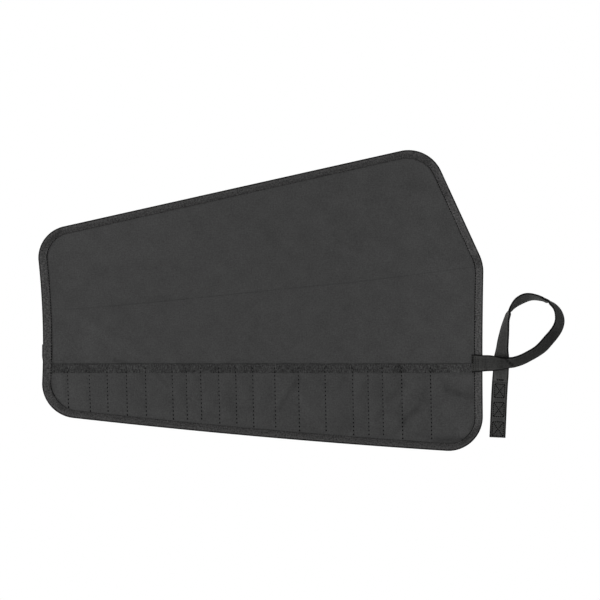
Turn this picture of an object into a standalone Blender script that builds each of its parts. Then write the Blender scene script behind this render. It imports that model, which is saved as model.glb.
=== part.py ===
"""Roll-up tool pouch, laid out open on a flat surface.

A canvas back panel carries a pocket panel with twenty hollow pockets. Tape is sewn along
the mouth of the pockets and folded round the whole edge. A webbing tie strap is sewn on at
the right, runs in a loose twisted loop, and ends in a patch of hook tape.

X runs along the pouch, Y towards the flap, Z up from the surface it lies on.
"""

import math
from collections import namedtuple

import bmesh
import bpy
from mathutils import Vector

# Panel outline
PANEL_LENGTH = 0.593
PANEL_DEPTH = 0.400
CORNER_RADIUS = 0.046

# Cloth and tape
CLOTH = 0.0011
TAPE = 0.0010
TAPE_LAP = 0.0105
FOLD_ROUND = 0.0012
GAP = 0.0003

# Pockets
MOUTH_HEIGHT = 0.115
BAND_WIDTH = 0.0117
BAND_PROUD = 0.0006
POCKET_RISE = 0.0050
POCKET_LEAN = 0.0020
END_MARGIN = 0.0055
STEP_RUN = 0.0035

# Fold line left across the flap
CREASE_DEPTH = 0.0009
CREASE_HALF = 0.008
CREASE_FADE = 0.05

# Tie strap and hook patch
STRAP_WIDTH = 0.0215
STRAP_THICKNESS = 0.0016
PATCH_LENGTH = 0.074
PATCH_WIDTH = 0.0205
PATCH_THICKNESS = 0.0012

# Fineness of the solids
STATION_SPACING = 0.030
ARC_STEPS = 7
ARCH_STEPS = 6
STRAP_STEPS = 2

# The outline's corners, anticlockwise from the lower left. across and up are shares of the
# panel's length and depth, and may lie outside the cloth because the rounds cut them off.
# round is a share of the corner radius. bow and lap belong to the side that follows: how far
# it swells outwards as a share of its own length, and its share of the tape's lap.
Corner = namedtuple("Corner", "name across up round bow lap")
CORNERS = (
    Corner("lower left", 0.0103, 0.1170, 1.02, 0.0060, 0.90),
    Corner("lower right", 0.9985, -0.0122, 1.00, -0.0040, 0.94),
    Corner("right", 1.0002, 0.6240, 1.20, 0.0, 1.00),
    Corner("top right", 0.8777, 1.0192, 1.04, 0.0, 1.00),
    Corner("top left", -0.0022, 0.7270, 0.94, -0.0190, 1.20),
)

# Each pocket's share of the mouth, from left to right.
POCKET_SHARES = (
    0.038, 0.052, 0.042, 0.046, 0.045, 0.063, 0.034, 0.034, 0.043, 0.041,
    0.039, 0.052, 0.056, 0.063, 0.064, 0.036, 0.034, 0.045, 0.068, 0.105,
)

# Rows of the pocket panel below the band, as shares of the way down to the edge tape.
POCKET_ROWS = (0.14, 0.30, 0.46, 0.60, 0.72, 0.83, 0.92, 1.0)

# The crease's ends, as shares of the panel's length and depth.
CREASE_ENDS = ((0.070, 0.478), (0.945, 0.612))
CREASE_CUTS = (0.0, 0.12, 0.35, 0.65, 0.88, 1.0)

# The strap's route along its middle, chosen by hand, in metres from where it leaves the
# pouch: the right edge, level with the pocket mouth. on_pouch and on_strap lift its lower
# edge off the surface, as shares of the pouch's level there and of the strap's width. twist
# is in degrees, 0 where the strap lies flat and 90 where it stands on its edge.
Route = namedtuple("Route", "along up on_pouch on_strap twist")
ROUTE = (
    Route(-0.0125, 0.0014, 1.00, 0.00, 0.0),
    Route(-0.0002, 0.0012, 1.00, 0.00, 0.0),
    Route(0.0071, 0.0011, 0.70, 0.00, 3.0),
    Route(0.0165, 0.0008, 0.20, 0.13, 22.0),
    Route(0.0271, 0.0007, 0.00, 0.30, 42.0),
    Route(0.0358, 0.0012, 0.00, 0.40, 49.0),
    Route(0.0425, 0.0023, 0.00, 0.30, 50.0),
    Route(0.0531, 0.0054, 0.00, 0.08, 50.0),
    Route(0.0638, 0.0106, 0.00, 0.00, 50.0),
    Route(0.0738, 0.0167, 0.00, 0.00, 49.0),
    Route(0.0818, 0.0232, 0.00, 0.00, 48.0),
    Route(0.0887, 0.0310, 0.00, 0.00, 49.0),
    Route(0.0967, 0.0408, 0.00, 0.00, 56.0),
    Route(0.1022, 0.0498, 0.00, 0.00, 58.0),
    Route(0.1045, 0.0594, 0.00, 0.00, 60.0),
    Route(0.1022, 0.0700, 0.00, 0.00, 65.0),
    Route(0.0965, 0.0780, 0.00, 0.00, 75.0),
    Route(0.0885, 0.0835, 0.00, 0.00, 90.0),
    Route(0.0805, 0.0866, 0.00, 0.00, 104.0),
    Route(0.0725, 0.0884, 0.00, 0.00, 113.0),
    Route(0.0645, 0.0892, 0.00, 0.00, 116.0),
    Route(0.0565, 0.0875, 0.00, 0.00, 117.0),
    Route(0.0479, 0.0830, 0.00, 0.00, 116.0),
    Route(0.0411, 0.0763, 0.00, 0.00, 107.0),
    Route(0.0369, 0.0687, 0.00, 0.00, 90.0),
    Route(0.0338, 0.0594, 0.00, 0.00, 73.0),
    Route(0.0317, 0.0507, 0.00, 0.00, 64.0),
    Route(0.0298, 0.0407, 0.00, 0.00, 57.0),
    Route(0.0283, 0.0300, 0.00, 0.00, 50.0),
    Route(0.0273, 0.0180, 0.00, 0.00, 40.0),
    Route(0.0265, 0.0047, 0.00, 0.00, 17.0),
    Route(0.0257, -0.0113, 0.00, 0.00, 13.0),
    Route(0.0245, -0.0235, 0.00, 0.00, 1.0),
    Route(0.0240, -0.0300, 0.00, 0.00, 0.0),
    Route(0.0231, -0.0460, 0.00, 0.00, 0.0),
    Route(0.0221, -0.0713, 0.00, 0.00, 0.0),
    Route(0.0209, -0.0978, 0.00, 0.00, 0.0),
)

# Levels that follow from the sizes above
RIM_LEVEL = TAPE + GAP
MOUTH_Y = MOUTH_HEIGHT - PANEL_DEPTH / 2
FLAP_EDGE_HEIGHT = RIM_LEVEL + CLOTH + GAP + TAPE
POCKET_EDGE_HEIGHT = FLAP_EDGE_HEIGHT + CLOTH + GAP
POUCH_LEVEL = POCKET_EDGE_HEIGHT + GAP

Station = namedtuple("Station", "point normal lap")
Column = namedtuple("Column", "top lean arch")
Frame = namedtuple("Frame", "centre across face")


def blend(low, high, share):
    """The value a share of the way from low to high."""
    return low + (high - low) * share


def clamp(value):
    """The value held between 0 and 1."""
    return max(0.0, min(1.0, value))


def right_of(direction):
    """The flat direction a quarter turn clockwise, which points out of the outline."""
    return Vector((direction.y, -direction.x, 0.0))


def panel_point(across, up):
    """The point at these shares of the panel's length and depth."""
    return Vector((across * PANEL_LENGTH - PANEL_LENGTH / 2, up * PANEL_DEPTH - PANEL_DEPTH / 2, 0.0))


def corner_round(index):
    """The round at a corner: its stations, and the points where the straight sides start."""
    corner = CORNERS[index]
    before = CORNERS[index - 1]
    after = CORNERS[(index + 1) % len(CORNERS)]
    tip = panel_point(corner.across, corner.up)
    arrive = (tip - panel_point(before.across, before.up)).normalized()
    leave = (panel_point(after.across, after.up) - tip).normalized()
    radius = CORNER_RADIUS * corner.round
    turn = arrive.angle(leave)
    reach = radius * math.tan(turn / 2)
    start = tip - arrive * reach
    middle = start - right_of(arrive) * radius
    stations = []
    for step in range(ARC_STEPS + 1):
        share = step / ARC_STEPS
        angle = turn * share
        normal = right_of(arrive) * math.cos(angle) + arrive * math.sin(angle)
        lap = blend(before.lap, corner.lap, share) * TAPE_LAP
        stations.append(Station(middle + normal * radius, normal, lap))
    return stations


def side_shares(start, end):
    """Where along a straight side its stations stand, with the mouth's step on steep sides."""
    length = (end - start).length
    count = max(2, round(length / STATION_SPACING))
    shares = {step / count for step in range(1, count)}
    if abs(end.y - start.y) > abs(end.x - start.x):
        for level in (MOUTH_Y + BAND_PROUD, MOUTH_Y + BAND_PROUD + STEP_RUN):
            share = (level - start.y) / (end.y - start.y)
            if 0.0 < share < 1.0:
                shares.add(share)
    return sorted(shares)


def outline_stations():
    """The folded outer edge as stations, anticlockwise from the lower left corner."""
    rounds = [corner_round(index) for index in range(len(CORNERS))]
    stations = []
    for index, corner in enumerate(CORNERS):
        stations.extend(rounds[index])
        start = rounds[index][-1].point
        end = rounds[(index + 1) % len(CORNERS)][0].point
        outward = right_of((end - start).normalized())
        swell = corner.bow * (end - start).length
        for share in side_shares(start, end):
            point = start.lerp(end, share) + outward * swell * 4 * share * (1 - share)
            stations.append(Station(point, outward, corner.lap * TAPE_LAP))
    return stations


def inset_loop(stations, distance):
    """The closed line that lies distance inside the outer edge."""
    return [station.point - station.normal * distance for station in stations]


def lap_loop(stations):
    """The closed line along the edge tape's inner edge."""
    return [station.point - station.normal * station.lap for station in stations]


def pairs(loop):
    """Each point of a closed line with the point after it."""
    return zip(loop, loop[1:] + loop[:1])


def lowest_at(loop, x):
    """The lowest y at which a closed line crosses x."""
    found = []
    for start, end in pairs(loop):
        if (start.x > x) != (end.x > x):
            found.append(blend(start.y, end.y, (x - start.x) / (end.x - start.x)))
    return min(found)


def sides_at(loop, y):
    """The leftmost and rightmost x at which a closed line crosses y."""
    found = []
    for start, end in pairs(loop):
        if (start.y > y) != (end.y > y):
            found.append(blend(start.x, end.x, (y - start.y) / (end.y - start.y)))
    return min(found), max(found)


def mesh_object(name, bm, collection, material):
    """A new object from a bmesh, with its faces turned out and shaded smooth."""
    bmesh.ops.recalc_face_normals(bm, faces=bm.faces)
    mesh = bpy.data.meshes.new(name)
    bm.to_mesh(mesh)
    bm.free()
    mesh.shade_smooth()
    mesh.set_sharp_from_angle(angle=math.radians(40))
    mesh.materials.append(material)
    piece = bpy.data.objects.new(name, mesh)
    collection.objects.link(piece)
    return piece


def thicken(bm, thickness):
    """Give an open sheet its wall, upwards."""
    grown = bmesh.ops.extrude_face_region(bm, geom=bm.faces[:])
    corners = [item for item in grown["geom"] if isinstance(item, bmesh.types.BMVert)]
    bmesh.ops.translate(bm, verts=corners, vec=(0.0, 0.0, thickness))


def grid_sheet(rows):
    """An open sheet of four-sided faces from rows of points."""
    bm = bmesh.new()
    corners = [[bm.verts.new(point) for point in row] for row in rows]
    for upper, lower in zip(corners, corners[1:]):
        for index in range(len(upper) - 1):
            bm.faces.new((upper[index], lower[index], lower[index + 1], upper[index + 1]))
    return bm


def loft(sections, closed):
    """A skin through closed sections, joined end to end or capped at both ends."""
    bm = bmesh.new()
    rings = [[bm.verts.new(point) for point in section] for section in sections]
    following = rings[1:] + (rings[:1] if closed else [])
    for ring, next_ring in zip(rings, following):
        for index in range(len(ring)):
            after = (index + 1) % len(ring)
            bm.faces.new((ring[index], ring[after], next_ring[after], next_ring[index]))
    if not closed:
        bm.faces.new(rings[0])
        bm.faces.new(rings[-1])
    return bm


def crease_line():
    """The fold line's start, and its run to its other end."""
    start, end = (panel_point(across, up) for across, up in CREASE_ENDS)
    return start, end - start


def crease_depth(point):
    """How far the flap dips at a point of the fold line's groove."""
    start, run = crease_line()
    along = (point - start).dot(run) / run.length
    away = abs((point - start).dot(right_of(run.normalized())))
    fade = clamp(along / CREASE_FADE) * clamp((run.length - along) / CREASE_FADE)
    return CREASE_DEPTH * clamp(1 - away / CREASE_HALF) * fade


def press_crease(bm):
    """Cut the fold line's groove, and lines across it, into a flat panel and press it in."""
    start, run = crease_line()
    aside = right_of(run.normalized())
    planes = [(start + aside * offset, aside) for offset in (-CREASE_HALF, 0.0, CREASE_HALF)]
    planes += [(start + run * share, run) for share in CREASE_CUTS]
    for point, normal in planes:
        region = bm.verts[:] + bm.edges[:] + bm.faces[:]
        bmesh.ops.bisect_plane(bm, geom=region, plane_co=point, plane_no=normal)
    for vert in bm.verts:
        vert.co.z -= crease_depth(Vector((vert.co.x, vert.co.y, 0.0)))


def make_back_panel(stations, collection, material):
    """The canvas panel, caught in the edge tape all round."""
    bm = bmesh.new()
    bm.faces.new([bm.verts.new(point) for point in inset_loop(stations, TAPE + GAP)])
    press_crease(bm)
    bmesh.ops.translate(bm, verts=bm.verts, vec=(0.0, 0.0, RIM_LEVEL))
    thicken(bm, CLOTH)
    return mesh_object("back_panel", bm, collection, material)


def edge_height(y):
    """How high the folded edge tape stands: higher where it also holds the pocket panel."""
    step = clamp((MOUTH_Y + BAND_PROUD + STEP_RUN - y) / STEP_RUN)
    return blend(FLAP_EDGE_HEIGHT, POCKET_EDGE_HEIGHT, step)


def tape_section(station):
    """The folded tape's closed section at a station, from its lower leg to its upper leg."""
    height = edge_height(station.point.y)
    turn = FOLD_ROUND
    eased = turn * (1 - math.sqrt(0.5))
    profile = (
        (station.lap, 0.0), (turn, 0.0), (eased, eased), (0.0, turn),
        (0.0, height - turn), (eased, height - eased), (turn, height), (station.lap, height),
        (station.lap, height - TAPE), (TAPE, height - TAPE), (TAPE, TAPE), (station.lap, TAPE),
    )
    return [station.point - station.normal * inward + Vector((0.0, 0.0, z))
            for inward, z in profile]


def make_edge_binding(stations, collection, material):
    """The tape folded round the whole edge."""
    bm = loft([tape_section(station) for station in stations], closed=True)
    return mesh_object("edge_binding", bm, collection, material)


def mouth_ends(stations):
    """The two ends of the mouth, at the edge tape's inner edge."""
    return sides_at(lap_loop(stations), MOUTH_Y)


def pocket_edges(stations):
    """Where the pockets begin and end along the mouth."""
    left, right = mouth_ends(stations)
    total = sum(POCKET_SHARES)
    edges = [left]
    for share in POCKET_SHARES:
        edges.append(edges[-1] + (right - left) * share / total)
    return edges


def pocket_columns(stations):
    """The pocket panel's columns inside the edge tape, with how far each one is raised."""
    edges = pocket_edges(stations)
    last = len(POCKET_SHARES) - 1
    columns = [Column(edges[0], 0.0, 0.0)]
    for index, (left, right) in enumerate(zip(edges, edges[1:])):
        low = left + END_MARGIN if index == 0 else left
        high = right - END_MARGIN if index == last else right
        left_lean = 0.0 if index == 0 else POCKET_LEAN
        right_lean = 0.0 if index == last else POCKET_LEAN
        if index == 0:
            columns.append(Column(low, left_lean, 0.0))
        for step in range(1, ARCH_STEPS + 1):
            share = step / ARCH_STEPS
            arch = 1 - (2 * share - 1) ** 2
            columns.append(Column(blend(low, high, share), blend(left_lean, right_lean, share), arch))
    columns.append(Column(edges[-1], 0.0, 0.0))
    return columns


def pocket_floor(stations, x):
    """The y at which a pocket ends at the edge tape, under a place on the mouth."""
    inner = lap_loop(stations)
    left, right = mouth_ends(stations)
    return lowest_at(inner, max(left + GAP, min(right - GAP, x)))


def pocket_point(stations, column, drop):
    """The underside of the pocket panel, drop metres below the mouth on a column."""
    floor = pocket_floor(stations, column.top + column.lean)
    share = clamp(drop / (MOUTH_Y - floor))
    x = column.top + column.lean * share
    z = RIM_LEVEL + CLOTH + GAP + POCKET_RISE * column.arch * (1 - share ** 4)
    return Vector((x, MOUTH_Y - drop, z))


def make_pocket_panel(stations, collection, material):
    """The pocket panel: sewn down between the pockets and arched over each one."""
    left, right = sides_at(inset_loop(stations, TAPE + GAP), MOUTH_Y)
    columns = [Column(left + GAP, 0.0, 0.0)]
    columns += pocket_columns(stations)
    columns.append(Column(right - TAPE, 0.0, 0.0))
    edge = inset_loop(stations, TAPE + GAP)
    lines = []
    for column in columns:
        depth = MOUTH_Y - pocket_floor(stations, column.top + column.lean)
        drops = [0.0, BAND_WIDTH]
        drops += [blend(BAND_WIDTH, depth, share) for share in POCKET_ROWS]
        line = [pocket_point(stations, column, drop) for drop in drops]
        foot = lowest_at(edge, line[-1].x)
        line.append(Vector((line[-1].x, foot, line[-1].z)))
        lines.append(line)
    bm = grid_sheet(lines)
    thicken(bm, CLOTH)
    return mesh_object("pocket_panel", bm, collection, material)


def make_pocket_band(stations, collection, material):
    """The tape along the mouth, on the pocket panel's face."""
    above = Vector((0.0, 0.0, CLOTH + GAP))
    proud = Vector((0.0, BAND_PROUD, 0.0))
    columns = pocket_columns(stations)
    columns[0] = columns[0]._replace(top=columns[0].top + GAP)
    columns[-1] = columns[-1]._replace(top=columns[-1].top - GAP)
    lines = []
    for column in columns:
        top = pocket_point(stations, column, 0.0) + above
        bottom = pocket_point(stations, column, BAND_WIDTH) + above
        lines.append([top + proud, bottom])
    bm = grid_sheet(lines)
    thicken(bm, TAPE)
    return mesh_object("pocket_band", bm, collection, material)


def strap_rows(stations):
    """The strap's route as rows of x, y, lift and twist, read from a smooth curve."""
    right = sides_at(inset_loop(stations, 0.0), MOUTH_Y)[1]
    own = []
    for row in ROUTE:
        lift = row.on_pouch * POUCH_LEVEL + row.on_strap * STRAP_WIDTH
        own.append((right + row.along, MOUTH_Y + row.up, lift, math.radians(row.twist)))
    padded = [own[0]] + own + [own[-1]]
    rows = []
    for before, start, end, after in zip(padded, padded[1:], padded[2:], padded[3:]):
        for step in range(STRAP_STEPS):
            rows.append(curve_point(before, start, end, after, step / STRAP_STEPS))
    rows.append(own[-1])
    return rows


def curve_point(before, start, end, after, share):
    """A point of the smooth curve that passes through each row of the route."""
    point = []
    for a, b, c, d in zip(before, start, end, after):
        value = 2 * b + (c - a) * share + (2 * a - 5 * b + 4 * c - d) * share ** 2
        value += (3 * b - a - 3 * c + d) * share ** 3
        point.append(value / 2)
    return tuple(point)


def strap_frames(rows):
    """The strap's middle, its direction across and its face's direction, at each row."""
    frames = []
    for index, (x, y, lift, twist) in enumerate(rows):
        before = rows[max(index - 1, 0)]
        after = rows[min(index + 1, len(rows) - 1)]
        ahead = Vector((after[0] - before[0], after[1] - before[1], 0.0)).normalized()
        left = -right_of(ahead)
        up = Vector((0.0, 0.0, 1.0))
        across = left * math.cos(twist) + up * math.sin(twist)
        face = up * math.cos(twist) - left * math.sin(twist)
        half = STRAP_WIDTH / 2 * abs(across.z) + STRAP_THICKNESS / 2 * abs(face.z)
        frames.append(Frame(Vector((x, y, max(lift, 0.0) + half)), across, face))
    return frames


def ribbon(frames, width, thickness, offset):
    """A flat band along the frames, offset from the route's middle along its face."""
    sections = []
    for frame in frames:
        middle = frame.centre + frame.face * offset
        side = frame.across * width / 2
        wall = frame.face * thickness / 2
        sections.append((middle - side - wall, middle + side - wall,
                         middle + side + wall, middle - side + wall))
    return loft(sections, closed=False)


def make_tie_strap(frames, collection, material):
    """The webbing strap, from its sewn end on the edge tape to its free end."""
    bm = ribbon(frames, STRAP_WIDTH, STRAP_THICKNESS, 0.0)
    return mesh_object("tie_strap", bm, collection, material)


def make_hook_patch(frames, collection, material):
    """The patch of hook tape on the strap's free end."""
    tip = frames[-1].centre
    near = [frame for frame in frames if (frame.centre - tip).length < PATCH_LENGTH]
    outer = frames[-len(near) - 1]
    reached = (near[0].centre - tip).length
    share = (PATCH_LENGTH - reached) / ((outer.centre - tip).length - reached)
    near.insert(0, Frame(*(a.lerp(b, share) for a, b in zip(near[0], outer))))
    offset = (STRAP_THICKNESS + PATCH_THICKNESS) / 2 + GAP
    bm = ribbon(near, PATCH_WIDTH, PATCH_THICKNESS, offset)
    return mesh_object("hook_patch", bm, collection, material)


def cloth_material(name, colour, roughness):
    """A plain woven finish."""
    material = bpy.data.materials.new(name)
    material.use_nodes = True
    shader = material.node_tree.nodes["Principled BSDF"]
    shader.inputs["Base Color"].default_value = (*colour, 1.0)
    shader.inputs["Roughness"].default_value = roughness
    shader.inputs["Metallic"].default_value = 0.0
    material.diffuse_color = (*colour, 1.0)
    return material


def clear_scene():
    """Remove whatever the file holds."""
    for item in list(bpy.data.objects):
        bpy.data.objects.remove(item, do_unlink=True)


def main():
    clear_scene()
    collection = bpy.data.collections.new("tool_pouch")
    bpy.context.scene.collection.children.link(collection)
    stations = outline_stations()
    frames = strap_frames(strap_rows(stations))
    make_back_panel(stations, collection, cloth_material("back_canvas", (0.050, 0.050, 0.050), 0.85))
    make_pocket_panel(stations, collection, cloth_material("pocket_canvas", (0.048, 0.048, 0.048), 0.85))
    make_pocket_band(stations, collection, cloth_material("mouth_tape", (0.034, 0.034, 0.034), 0.70))
    make_edge_binding(stations, collection, cloth_material("edge_tape", (0.038, 0.038, 0.038), 0.70))
    make_tie_strap(frames, collection, cloth_material("strap_webbing", (0.036, 0.036, 0.036), 0.65))
    make_hook_patch(frames, collection, cloth_material("hook_tape", (0.030, 0.030, 0.030), 0.80))


main()
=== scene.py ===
"""Finished cloth, tape, strap and stitches for a roll-up tool pouch that lies open.

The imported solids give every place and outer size. The panels are woven sheets, the edge and
the mouth are bound with ribbed tape, the strap is flat webbing, and every seam has its
thread. Lengths are in metres: X along the pouch, Y towards the flap, Z up.
"""

import math
from collections import namedtuple

import bpy
import numpy as np
from mathutils import Matrix, Vector, noise


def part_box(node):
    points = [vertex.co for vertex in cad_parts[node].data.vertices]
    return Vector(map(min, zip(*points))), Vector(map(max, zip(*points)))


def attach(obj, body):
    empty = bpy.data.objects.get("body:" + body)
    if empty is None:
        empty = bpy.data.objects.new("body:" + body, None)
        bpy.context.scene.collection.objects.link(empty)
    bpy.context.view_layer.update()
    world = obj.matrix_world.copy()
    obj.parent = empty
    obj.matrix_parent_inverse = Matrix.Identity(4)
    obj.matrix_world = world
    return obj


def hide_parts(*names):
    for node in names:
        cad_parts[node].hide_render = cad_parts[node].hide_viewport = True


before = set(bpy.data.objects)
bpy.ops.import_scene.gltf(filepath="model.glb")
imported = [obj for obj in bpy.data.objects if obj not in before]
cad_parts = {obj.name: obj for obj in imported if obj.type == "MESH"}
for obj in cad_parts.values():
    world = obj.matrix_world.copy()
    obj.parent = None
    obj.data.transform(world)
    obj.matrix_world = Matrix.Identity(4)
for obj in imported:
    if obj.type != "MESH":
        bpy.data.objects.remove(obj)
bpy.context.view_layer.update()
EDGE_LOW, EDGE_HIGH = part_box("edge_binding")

bl_info = {
    "name": "Tool Pouch",
    "version": (1, 0, 0),
    "blender": (4, 5, 0),
    "location": "3D View > Sidebar > Tool Pouch",
    "description": "Dresses a flat roll-up tool pouch in canvas, tape, webbing and thread",
    "category": "Add Mesh",
}

# The outline's corners, anticlockwise from the lower left. across and up are shares of the
# panel's length and depth, round is a share of the corner radius, and bow and lap belong to
# the side that follows. gather is added to the lap in the middle of the round.
Corner = namedtuple("Corner", "across up round bow lap gather")
CORNERS = (
    Corner(0.0103, 0.1170, 1.02, 0.0060, 1.015, 0.11),
    Corner(0.9985, -0.0122, 1.00, -0.0040, 1.10, -0.04),
    Corner(1.0002, 0.6240, 1.20, 0.0, 1.125, 0.03),
    Corner(0.8777, 1.0192, 1.04, 0.0, 1.035, 0.08),
    Corner(-0.0022, 0.7270, 0.94, -0.0190, 1.20, 0.06),
)

# Each pocket's share of the mouth, from left to right.
POCKET_SHARES = (
    0.0355, 0.0515, 0.0420, 0.0455, 0.0450, 0.0637, 0.0330, 0.0340, 0.0425, 0.0405,
    0.0400, 0.0520, 0.0560, 0.0630, 0.0650, 0.0363, 0.0342, 0.0454, 0.0685, 0.1030,
)

# The old fold line across the flap, as shares of the panel's length and depth.
CREASE = ((0.0883, 0.4718), (0.2682, 0.4952), (0.5537, 0.5385), (0.7179, 0.5618), (0.9720, 0.6102))

# Soft folds of the canvas and of the edge tape: where each one starts and ends, how wide it is, how
# far it lifts (or, below zero, dips), and how much painted shade it lays along it (or, below zero,
# painted light). The wide ones that neither lift nor dip lay painted light over broad patches of
# cloth, and the edge tape's ones are painted shade where it pleats and bunches at the corners.
Fold = namedtuple("Fold", "start_x start_y end_x end_y half_width lift shade")
POCKET_FOLDS = (
    Fold(0.0239, -0.1446, 0.0505, -0.1059, 0.0040, -0.0007, 0.16),
    Fold(0.0159, -0.1459, 0.0372, -0.1153, 0.0045, 0.0006, -0.04),
    Fold(0.0959, -0.1286, 0.1145, -0.1059, 0.0045, -0.0005, 0.10),
    Fold(0.1052, -0.1739, 0.1225, -0.1633, 0.0060, -0.0004, 0.10),
    Fold(0.1292, -0.1339, 0.1385, -0.1153, 0.0035, -0.0004, 0.10),
    Fold(0.1545, -0.1579, 0.1625, -0.1486, 0.0035, -0.0004, 0.14),
    Fold(0.1692, -0.1326, 0.1892, -0.1099, 0.0050, -0.0007, 0.15),
    Fold(0.1745, -0.1833, 0.1905, -0.1646, 0.0035, -0.0005, 0.14),
    Fold(0.1905, -0.1606, 0.2079, -0.1459, 0.0055, -0.0010, 0.24),
    Fold(0.2079, -0.1459, 0.2239, -0.1153, 0.0055, -0.0007, 0.12),
    Fold(0.1812, -0.1406, 0.2052, -0.1126, 0.0060, 0.0009, -0.08),
    Fold(0.2412, -0.1046, 0.2492, -0.1193, 0.0042, -0.0006, 0.12),
    Fold(0.2492, -0.1193, 0.2639, -0.1253, 0.0040, -0.0009, 0.18),
    Fold(0.2639, -0.1253, 0.2825, -0.1273, 0.0040, -0.0009, 0.20),
    Fold(0.2479, -0.1019, 0.2772, -0.1073, 0.0070, 0.0010, -0.12),
    Fold(0.2559, -0.1526, 0.2745, -0.1713, 0.0100, 0.0008, -0.12),
    Fold(0.2359, -0.1859, 0.2692, -0.1859, 0.0045, -0.0008, 0.42),
    Fold(0.2079, -0.1793, 0.2239, -0.1793, 0.0040, -0.0003, 0.10),
    Fold(-0.1375, -0.0979, -0.1241, -0.1126, 0.0036, -0.0006, 0.18),
    Fold(-0.1295, -0.1006, -0.1041, -0.1366, 0.0060, 0.0005, -0.05),
    Fold(-0.0468, -0.1273, -0.0375, -0.1473, 0.0070, -0.0003, 0.10),
    Fold(-0.0295, -0.1433, -0.0108, -0.1433, 0.0024, -0.0004, 0.14),
    Fold(0.0532, -0.1313, 0.0665, -0.1499, 0.0060, 0.0004, -0.05),
    Fold(-0.2708, -0.0993, -0.2641, -0.1393, 0.0060, 0.0003, -0.16),
    Fold(-0.2400, -0.0950, -0.2400, -0.1400, 0.0350, 0.0000, -0.07),
    Fold(0.2650, -0.0900, 0.2650, -0.1900, 0.1100, 0.0000, -0.10),
)
FLAP_FOLDS = (
    Fold(-0.0188, 0.1261, 0.0119, 0.0861, 0.0070, -0.0004, 0.05),
    Fold(0.0119, 0.0861, 0.0425, 0.0567, 0.0070, -0.0004, 0.05),
    Fold(0.0785, 0.1527, 0.0972, 0.1087, 0.0060, -0.0003, 0.05),
    Fold(0.0972, 0.1087, 0.1252, 0.0714, 0.0060, -0.0003, 0.04),
    Fold(0.1572, 0.1567, 0.2159, 0.1514, 0.0065, -0.0004, 0.08),
    Fold(-0.0988, 0.1167, -0.0588, 0.0634, 0.0080, -0.0003, 0.03),
    Fold(-0.2588, 0.0621, -0.1201, 0.0634, 0.0140, 0.0004, -0.06),
    Fold(-0.2081, 0.0407, -0.1121, 0.0434, 0.0055, -0.0003, 0.06),
    Fold(-0.2561, 0.0221, -0.1895, 0.0207, 0.0065, 0.0003, -0.05),
    Fold(-0.1708, 0.0021, -0.1015, 0.0034, 0.0060, -0.0003, 0.06),
    Fold(-0.2321, -0.0299, -0.1881, -0.0646, 0.0050, 0.0005, -0.08),
    Fold(-0.1881, -0.0646, -0.1468, -0.0793, 0.0040, 0.0005, -0.08),
    Fold(-0.2188, -0.0246, -0.1708, -0.0539, 0.0050, -0.0004, 0.05),
    Fold(0.0305, -0.0646, 0.0919, -0.0339, 0.0070, -0.0003, 0.05),
    Fold(-0.1948, -0.0793, -0.1801, -0.0846, 0.0030, -0.0004, 0.26),
    Fold(-0.1721, -0.0846, -0.1575, -0.0859, 0.0024, -0.0003, 0.22),
    Fold(-0.0375, -0.0793, 0.0025, -0.0819, 0.0040, -0.0002, 0.10),
    Fold(0.2399, 0.0527, 0.2772, -0.0539, 0.0200, 0.0003, -0.04),
    Fold(0.2650, 0.1500, 0.2650, -0.0800, 0.1100, 0.0000, -0.12),
    Fold(-0.2300, -0.0500, -0.2300, -0.0900, 0.0350, 0.0000, -0.06),
    Fold(-0.2300, 0.0800, -0.1500, 0.1000, 0.0450, 0.0000, -0.05),
)
TAPE_FOLDS = (
    Fold(0.2850, 0.0575, 0.2895, 0.0485, 0.0038, 0.0000, 0.42),
    Fold(0.2200, 0.1850, 0.2440, 0.1400, 0.0075, 0.0000, 0.28),
    Fold(0.2700, -0.1890, 0.2905, -0.1700, 0.0050, 0.0000, 0.45),
    Fold(-0.2868, 0.0727, -0.2687, 0.0914, 0.0035, 0.0000, 0.38),
    Fold(-0.2800, -0.1120, -0.2641, -0.1425, 0.0035, 0.0000, 0.35),
    Fold(0.0500, 0.1900, 0.1100, 0.1990, 0.0090, 0.0000, 0.08),
)

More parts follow.
